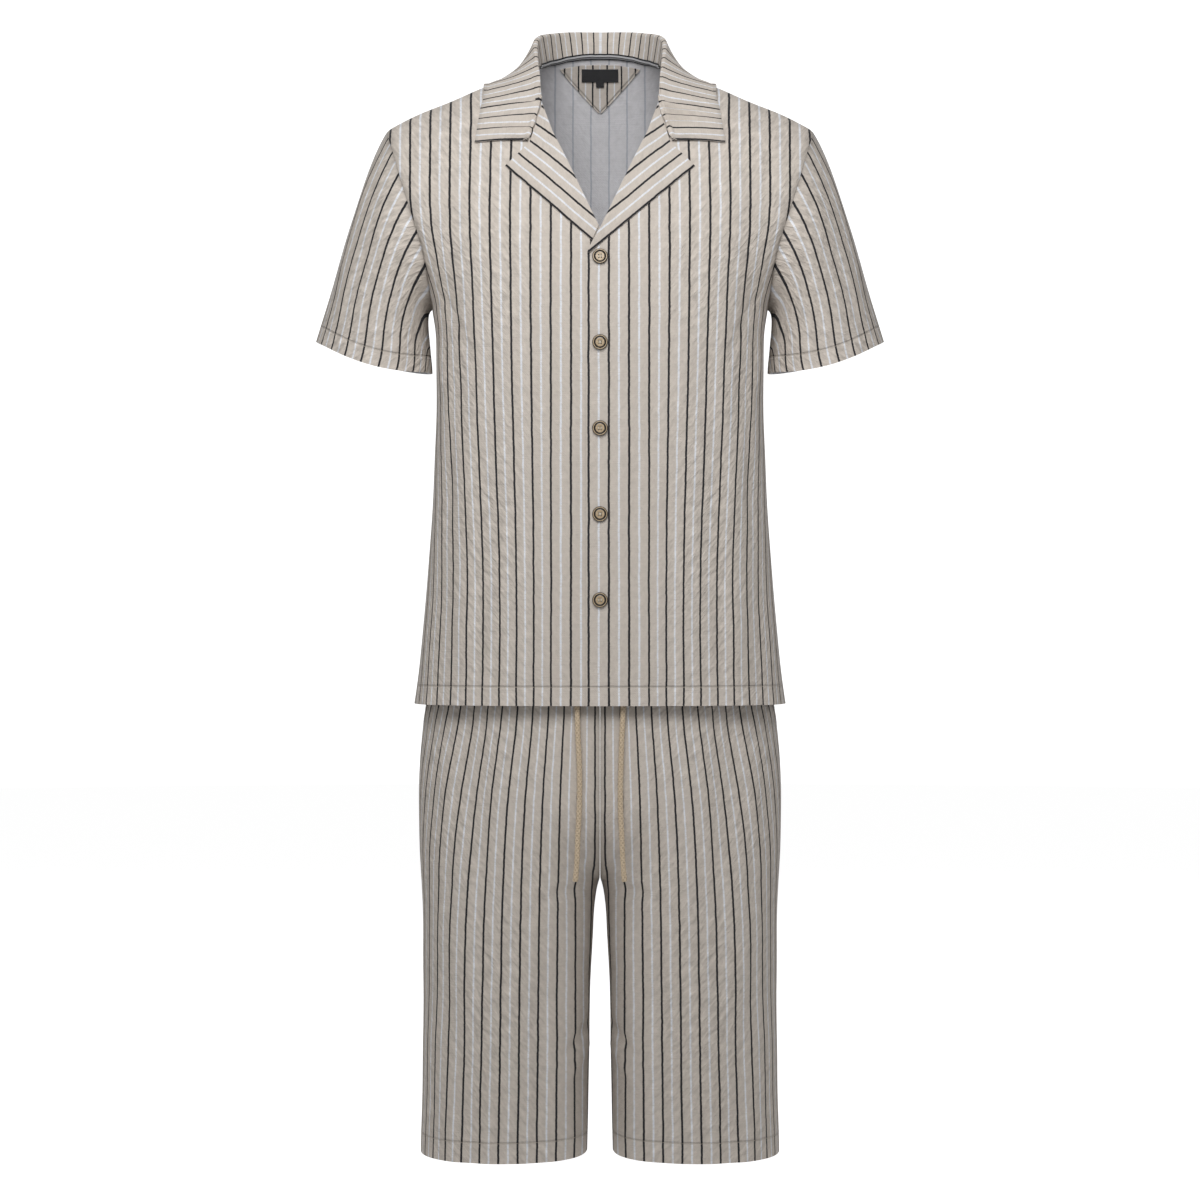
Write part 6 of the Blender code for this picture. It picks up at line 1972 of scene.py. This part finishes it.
def make_tape(material):
    """Five woven bands along the tape: dark, light, a thin dark one, light, dark."""
    trim = bpy.context.scene.lounge_trim
    board, shader = shader_of(material, 0.80, sheen=0.1, specular=0.3)
    height, along = cloth_places(board)
    away = board.maths("ABSOLUTE", board.maths("SUBTRACT", height, 0.5))
    thin = board.step(away, 0.045, 0.085, 1.0, 0.0)
    outer = board.step(away, 0.27, 0.32)
    dark = board.maths("MAXIMUM", thin, outer)
    rib = board.maths("SINE", board.maths("MULTIPLY", along, 2 * math.pi / 0.0011))
    weave = board.maths("SINE", board.maths("MULTIPLY", height, 2 * math.pi * 9.0))
    high = board.maths("MULTIPLY", rib, weave)
    colour = board.blend(dark, tuple(trim.tape_light), tuple(trim.tape_dark))
    # Painted shade of the weave: the colour follows the ribs' height.
    colour = shaded(board, colour, board.maths("ADD", 1.0, board.maths("MULTIPLY", high, 0.12)))
    board.feed(shader.inputs["Base Color"], colour)
    raise_bump(board, shader, high, 0.0002)


def make_label(material):
    """A dark satin-woven label, left bare, with a slightly raised border."""
    trim = bpy.context.scene.lounge_trim
    board, shader = shader_of(material, 0.55, sheen=0.2, specular=0.4)
    across, up = cloth_places(board)
    rib = board.maths("SINE", board.maths("MULTIPLY", up, 2 * math.pi / 0.0009))
    warp = board.maths("SINE", board.maths("MULTIPLY", across, 2 * math.pi / 0.0012))
    weave = board.maths("MULTIPLY", rib, warp)
    border = board.attribute("seam")
    high = board.maths("ADD", weave, board.maths("MULTIPLY", border, 1.5))
    # Painted highlight: the raised border and the weave's crests are drawn lighter.
    share = board.maths("ADD", 1.0, board.maths("MULTIPLY", weave, 0.18))
    share = board.maths("ADD", share, board.maths("MULTIPLY", border, 0.5))
    board.feed(shader.inputs["Base Color"], shaded(board, board.blend(0.0, tuple(trim.label), tuple(trim.label)), share))
    raise_bump(board, shader, high, 0.00018)


def make_horn(material):
    """Button horn: a tan middle, a dark ring, a light rim and a dark outer edge, with a mottled grain."""
    trim = bpy.context.scene.lounge_trim
    board, shader = shader_of(material, 0.32, specular=0.5)
    place = board.node("ShaderNodeTexCoord").outputs["Object"]
    split = board.node("ShaderNodeSeparateXYZ")
    board.feed(split.inputs[0], place)
    square = board.maths("ADD", board.maths("POWER", split.outputs[0], 2.0), board.maths("POWER", split.outputs[1], 2.0))
    radius = board.maths("SQRT", square)
    mottle = board.noise(place, 420.0, 3.0)
    middle = board.blend(board.step(mottle, 0.30, 0.70), tuple(trim.horn_light), tuple(trim.horn_mid))
    ring = board.maths(
        "MULTIPLY", board.step(radius, 0.0046, 0.0049), board.step(radius, 0.0065, 0.0068, 1.0, 0.0)
    )
    outer = board.step(radius, 0.0073, 0.0076)
    colour = board.blend(board.maths("MULTIPLY", ring, 0.98), middle, tuple(trim.horn_dark))
    colour = board.blend(board.maths("MULTIPLY", outer, 0.97), colour, tuple(trim.horn_dark))
    board.feed(shader.inputs["Base Color"], colour)
    rough = board.maths("ADD", 0.26, board.maths("MULTIPLY", mottle, 0.18))
    board.feed(shader.inputs["Roughness"], rough)
    raise_bump(board, shader, mottle, 0.00006)


def make_cord(material):
    """Round cotton cord: slanting braid strands with a fine fuzz."""
    trim = bpy.context.scene.lounge_trim
    board, shader = shader_of(material, 0.90, sheen=0.2, specular=0.2)
    turn, along = cloth_places(board)
    step = board.maths("MULTIPLY", along, 1.0 / 0.0052)
    round_turn = board.maths("MULTIPLY", turn, 4.0)
    one = board.maths("SINE", board.maths("MULTIPLY", board.maths("ADD", round_turn, step), 2 * math.pi))
    two = board.maths("SINE", board.maths("MULTIPLY", board.maths("SUBTRACT", round_turn, step), 2 * math.pi))
    braid = board.maths("MAXIMUM", one, two)
    place = board.node("ShaderNodeTexCoord").outputs["Object"]
    fuzz = board.maths("SUBTRACT", board.noise(place, 900.0, 2.0), 0.5)
    # Painted shade between the braid's strands; the fuzz adds uneven fibre tone.
    share = board.maths("ADD", board.maths("ADD", 0.90, board.maths("MULTIPLY", braid, 0.11)), board.maths("MULTIPLY", fuzz, 0.22))
    colour = shaded(board, board.blend(board.step(fuzz, -0.2, 0.2), tuple(trim.cord), tuple(trim.cord_deep)), share)
    board.feed(shader.inputs["Base Color"], colour)
    raise_bump(board, shader, board.maths("ADD", braid, board.maths("MULTIPLY", fuzz, 0.8)), 0.0004)


def make_thread(material):
    trim = bpy.context.scene.lounge_trim
    board, shader = shader_of(material, 0.70, sheen=0.2, specular=0.3)
    place = board.node("ShaderNodeTexCoord").outputs["Object"]
    fibre = board.noise(place, 1500.0, 2.0)
    colour = board.blend(fibre, tuple(trim.thread), tuple(trim.thread_deep))
    board.feed(shader.inputs["Base Color"], colour)
    raise_bump(board, shader, fibre, 0.0001)


def make_metal(material):
    trim = bpy.context.scene.lounge_trim
    board, shader = shader_of(material, 0.35, metallic=1.0)
    place = board.node("ShaderNodeTexCoord").outputs["Object"]
    wear = board.noise(place, 300.0, 3.0)
    colour = board.blend(board.step(wear, 0.35, 0.75), tuple(trim.metal), tuple(trim.metal_worn))
    board.feed(shader.inputs["Base Color"], colour)
    board.feed(shader.inputs["Roughness"], board.maths("ADD", 0.24, board.maths("MULTIPLY", wear, 0.25)))
    raise_bump(board, shader, wear, 0.00005)


FINISH_MAKERS = {
    "cloth_outside": make_outside,
    "cloth_inside": make_inside,
    "neck_tape_bands": make_tape,
    "label_weave": make_label,
    "button_horn_finish": make_horn,
    "button_thread": make_thread,
    "drawstring_cotton_finish": make_cord,
    "eyelet_metal_finish": make_metal,
}
GROUP_MAKERS = {"Woven lines": line_group, "Seersucker crinkle": crinkle_group, "Stitch row": stitch_group}


def make_finishes():
    """Makes the shared node groups and the materials, once."""
    for name, make in GROUP_MAKERS.items():
        if name not in bpy.data.node_groups:
            make()
    for name, make in FINISH_MAKERS.items():
        if name not in bpy.data.materials:
            make(bpy.data.materials.new(name))


# Stage


def build_stage():
    stage = bpy.context.scene.lounge_stage
    camera = bpy.data.objects.new("camera", bpy.data.cameras.new("camera"))
    camera.location = (0.0, -stage.camera_distance, stage.camera_height)
    camera.rotation_euler = (math.radians(90), 0.0, 0.0)
    camera.data.sensor_width = 36.0
    camera.data.lens = 36.0 * stage.camera_distance / stage.view_width
    bpy.context.scene.collection.objects.link(camera)
    bpy.context.scene.camera = camera
    bpy.context.scene.view_settings.view_transform = "Standard"
    chest, middle = Vector((0.0, -0.1, -0.15)), Vector((0.0, 0.0, stage.camera_height))
    # name, place, aim, size, strength
    for name, at, aim, size, strength in (
        ("key_light", (-0.10, -1.2, 0.45), chest, 1.0, stage.key_light),
        ("side_light_left", (2.6, -1.2, 0.2), middle, 2.0, stage.side_light),
        ("side_light_right", (-2.6, -1.2, 0.2), middle, 2.0, stage.side_light),
        ("back_light", (0.0, 2.6, 1.6), middle, 2.4, stage.back_light),
    ):
        lamp = bpy.data.lights.new(name, "AREA")
        lamp.shape = "DISK"
        lamp.size = size
        lamp.energy = strength
        obj = bpy.data.objects.new(name, lamp)
        obj.location = at
        obj.rotation_euler = (aim - Vector(at)).to_track_quat("-Z", "Y").to_euler()
        obj.visible_camera = False
        bpy.context.scene.collection.objects.link(obj)
    world = bpy.data.worlds.new("studio")
    bpy.context.scene.world = world
    world.use_nodes = True
    board = Board(world.node_tree)
    background = world.node_tree.nodes["Background"]
    background.inputs["Color"].default_value = (1.0, 1.0, 1.0, 1.0)
    seen = board.node("ShaderNodeLightPath").outputs["Is Camera Ray"]
    strength = board.maths("ADD", stage.world_light, board.maths("MULTIPLY", seen, stage.backdrop - stage.world_light))
    board.feed(background.inputs["Strength"], strength)
    build_floor(stage)


def build_floor(stage):
    """A round pale floor that brightens into the backdrop."""
    made = bmesh.new()
    bmesh.ops.create_circle(made, cap_ends=True, segments=96, radius=stage.floor_radius)
    mesh = bpy.data.meshes.new("floor")
    made.to_mesh(mesh)
    made.free()
    floor = bpy.data.objects.new("floor", mesh)
    floor.location = (0.0, 0.0, stage.floor_height)
    material = bpy.data.materials.new("pale_floor")
    board, shader = shader_of(material, 0.9, specular=0.2)
    place = board.node("ShaderNodeTexCoord").outputs["Object"]
    grain = board.noise(place, 40.0, 2.0)
    shade = board.maths("ADD", 0.97, board.maths("MULTIPLY", grain, 0.03))
    board.feed(shader.inputs["Base Color"], shaded(board, tuple(stage.floor)[:3], shade))
    seen = board.node("ShaderNodeLightPath").outputs["Is Camera Ray"]
    glow = board.blend(seen, (0.10, 0.10, 0.10, 1.0), (1.0, 1.0, 1.0, 1.0))
    board.feed(shader.inputs["Emission Color"], glow)
    shader.inputs["Emission Strength"].default_value = stage.floor_glow
    mesh.materials.append(material)
    bpy.context.scene.collection.objects.link(floor)


# Settings


def colour_setting(name, description, value):
    return FloatVectorProperty(
        name=name, description=description, default=(*value, 1.0), subtype="COLOR", size=4, min=0.0, max=1.0
    )


class LoungeClothSettings(bpy.types.PropertyGroup):
    """Colours and scale of the striped seersucker."""

    ground: colour_setting("Ground", "Colour of the cloth between its lines", (0.545, 0.492, 0.440))
    dark_line: colour_setting("Dark line", "Colour of the dark woven lines", (0.012, 0.013, 0.018))
    light_line: colour_setting("Light line", "Colour of the light woven lines", (0.690, 0.705, 0.745))
    inside_ground: colour_setting("Inside", "Colour of the cloth's wrong side", (0.620, 0.612, 0.630))
    inside_line: colour_setting("Inside line", "Colour of the lines on the wrong side", (0.420, 0.435, 0.480))
    thread: colour_setting("Stitch thread", "Colour of the hem stitches", (0.420, 0.370, 0.315))
    dark_half: FloatProperty(name="Dark line", description="Half width, in line spacings", default=0.056, min=0.0, max=0.2)
    light_half: FloatProperty(name="Light line", description="Half width, in line spacings", default=0.050, min=0.0, max=0.2)
    line_wander: FloatProperty(name="Wander", description="How far lines stray, in line spacings", default=0.075, min=0.0)
    thread_spacing: FloatProperty(
        name="Weave", description="Spacing of the visible weave", default=0.0019, min=0.0005, subtype="DISTANCE", unit="LENGTH"
    )
    crinkle_depth: FloatProperty(
        name="Crinkle depth", description="Depth of the small puckers", default=0.0013, min=0.0,
        subtype="DISTANCE", unit="LENGTH",
    )


class LoungeTrimSettings(bpy.types.PropertyGroup):
    """Colours of the buttons, drawstring, tape, label and eyelets."""

    horn_light: colour_setting("Horn, light", "Light part of the buttons", (0.480, 0.370, 0.240))
    horn_mid: colour_setting("Horn, middle", "Middle tone of the buttons", (0.350, 0.260, 0.160))
    horn_dark: colour_setting("Horn, dark", "Dark rings of the buttons", (0.012, 0.009, 0.007))
    thread: colour_setting("Button thread", "Thread through the buttons", (0.740, 0.700, 0.620))
    thread_deep: colour_setting("Button thread, deep", "Shaded fibres of that thread", (0.520, 0.480, 0.400))
    cord: colour_setting("Drawstring", "Colour of the drawstring", (0.640, 0.520, 0.375))
    cord_deep: colour_setting("Drawstring, deep", "Shaded strands of the drawstring", (0.520, 0.405, 0.275))
    tape_light: colour_setting("Tape, light", "Light bands of the neck tape", (0.430, 0.430, 0.440))
    tape_dark: colour_setting("Tape, dark", "Dark bands of the neck tape", (0.010, 0.010, 0.014))
    label: colour_setting("Label", "Colour of the bare label", (0.012, 0.012, 0.014))
    metal: colour_setting("Eyelet", "Colour of the eyelets", (0.300, 0.270, 0.220))
    metal_worn: colour_setting("Eyelet, worn", "Rubbed places of the eyelets", (0.520, 0.470, 0.380))


class LoungeStageSettings(bpy.types.PropertyGroup):
    """Camera, lights and floor."""

    camera_distance: FloatProperty(name="Camera distance", description="From the plane of the side seams", default=3.5, unit="LENGTH")
    camera_height: FloatProperty(name="Camera height", description="From the neck points", default=-0.5808, unit="LENGTH")
    view_width: FloatProperty(name="View width", description="Width in view at the side seams", default=1.32, unit="LENGTH")
    key_light: FloatProperty(name="Key light", description="Strength of the front light", default=16.5, min=0.0, unit="POWER")
    side_light: FloatProperty(name="Side lights", description="Strength of the other lights", default=3.5, min=0.0, unit="POWER")
    back_light: FloatProperty(name="Back light", description="Strength of the light behind", default=28.0, min=0.0, unit="POWER")
    world_light: FloatProperty(name="Ambient", description="Strength of the light from all round", default=0.27, min=0.0)
    backdrop: FloatProperty(name="Backdrop", description="Brightness of the backdrop in view", default=1.2, min=0.0)
    floor: colour_setting("Floor", "Colour of the floor", (0.90, 0.90, 0.90))
    floor_glow: FloatProperty(name="Floor glow", description="Light given off by the floor", default=0.75, min=0.0)
    floor_height: FloatProperty(name="Floor height", description="Below the neck points", default=-1.300, unit="LENGTH")
    floor_radius: FloatProperty(name="Floor radius", description="Radius of the round floor", default=9.0, unit="LENGTH")


# Operators


class LOUNGE_OT_stage(bpy.types.Operator):
    """Camera, soft lights and pale floor"""

    bl_idname = "lounge.stage"
    bl_label = "Stage"

    def execute(self, context):
        build_stage()
        return {"FINISHED"}


class LOUNGE_OT_drawstring(bpy.types.Operator):
    """The drawstring's two free ends"""

    bl_idname = "lounge.drawstring"
    bl_label = "Drawstring"

    def execute(self, context):
        make_finishes()
        for which in CORD_ROUTES:
            build_drawstring(which)
        return {"FINISHED"}


class LOUNGE_OT_shirt_body(bpy.types.Operator):
    """The shirt's two fronts and its back"""

    bl_idname = "lounge.shirt_body"
    bl_label = "Shirt Fronts and Back"

    def execute(self, context):
        make_finishes()
        for name, cut, rests_on in (
            ("front_left", FRONT_CUT, ["shirt_cloth_front_right"]),
            ("front_right", FRONT_CUT, []),
            ("back", BACK_CUT, []),
        ):
            panel = shirt_body()[name]
            obj = cloth_wall(
                f"shirt_cloth_{name}", panel["grid"], panel["marks"], WALL, "cloth_outside", "cloth_inside",
                "striped_cloth", f"shirt_{name}", normals=panel["normals"],
            )
        return {"FINISHED"}


class LOUNGE_OT_sleeves(bpy.types.Operator):
    """The shirt's two short sleeves"""

    bl_idname = "lounge.sleeves"
    bl_label = "Sleeves"

    def execute(self, context):
        make_finishes()
        for hand in ("left", "right"):
            sleeve = shirt_body()[f"sleeve_{hand}"]
            obj = cloth_wall(
                f"sleeve_cloth_{hand}", sleeve["grid"], sleeve["marks"], WALL, "cloth_outside", "cloth_inside",
                "striped_cloth", f"sleeve_{hand}", wrap=True, normals=sleeve["normals"],
            )
        return {"FINISHED"}


class LOUNGE_OT_collar(bpy.types.Operator):
    """The camp collar and the two lapels"""

    bl_idname = "lounge.collar"
    bl_label = "Collar and Lapels"

    def execute(self, context):
        make_finishes()
        build_collar()
        build_lapel("left", TOP_LAPEL_END, OVERLAP_LIFT)
        build_lapel("right", UNDER_LAPEL_END, 0.0)
        return {"FINISHED"}


class LOUNGE_OT_neck_pieces(bpy.types.Operator):
    """The back neck facing, the bare label and the neck tape"""

    bl_idname = "lounge.neck_pieces"
    bl_label = "Neck Pieces"

    def execute(self, context):
        make_finishes()
        build_label(build_facing())
        build_tape()
        return {"FINISHED"}


class LOUNGE_OT_buttons(bpy.types.Operator):
    """The five horn buttons and the thread through them"""

    bl_idname = "lounge.buttons"
    bl_label = "Buttons"

    def execute(self, context):
        make_finishes()
        build_buttons()
        return {"FINISHED"}


class LOUNGE_OT_shorts(bpy.types.Operator):
    """The four panels of the shorts"""

    bl_idname = "lounge.shorts"
    bl_label = "Shorts"

    def execute(self, context):
        make_finishes()
        build_shorts()
        return {"FINISHED"}


class LOUNGE_OT_waistband(bpy.types.Operator):
    """The gathered waistband and its eyelets"""

    bl_idname = "lounge.waistband"
    bl_label = "Waistband and Eyelets"

    def execute(self, context):
        make_finishes()
        build_waistband()
        build_eyelets()
        return {"FINISHED"}


STEPS = ("stage", "drawstring", "shirt_body", "sleeves", "collar", "neck_pieces", "buttons", "shorts", "waistband")


class LOUNGE_PT_panel(bpy.types.Panel):
    """Lists the steps that build the lounge set, and its settings."""

    bl_idname = "LOUNGE_PT_panel"
    bl_label = "Lounge Set"
    bl_space_type = "VIEW_3D"
    bl_region_type = "UI"
    bl_category = "Lounge Set"

    def draw(self, context):
        for step in STEPS:
            self.layout.operator(f"lounge.{step}")
        for group in (context.scene.lounge_cloth, context.scene.lounge_trim, context.scene.lounge_stage):
            box = self.layout.box()
            for key in group.__annotations__:
                box.prop(group, key)


SETTINGS = {
    "lounge_cloth": LoungeClothSettings,
    "lounge_trim": LoungeTrimSettings,
    "lounge_stage": LoungeStageSettings,
}
OPERATORS = (
    LOUNGE_OT_stage,
    LOUNGE_OT_drawstring,
    LOUNGE_OT_shirt_body,
    LOUNGE_OT_sleeves,
    LOUNGE_OT_collar,
    LOUNGE_OT_neck_pieces,
    LOUNGE_OT_buttons,
    LOUNGE_OT_shorts,
    LOUNGE_OT_waistband,
)


def register():
    for name, group in SETTINGS.items():
        bpy.utils.register_class(group)
        setattr(bpy.types.Scene, name, PointerProperty(type=group))
    for made in OPERATORS:
        bpy.utils.register_class(made)
    bpy.utils.register_class(LOUNGE_PT_panel)


def unregister():
    bpy.utils.unregister_class(LOUNGE_PT_panel)
    for made in reversed(OPERATORS):
        bpy.utils.unregister_class(made)
    for name, group in SETTINGS.items():
        delattr(bpy.types.Scene, name)
        bpy.utils.unregister_class(group)


def main():
    register()
    for step in STEPS:
        getattr(bpy.ops.lounge, step)()


if __name__ == "__main__":
    main()
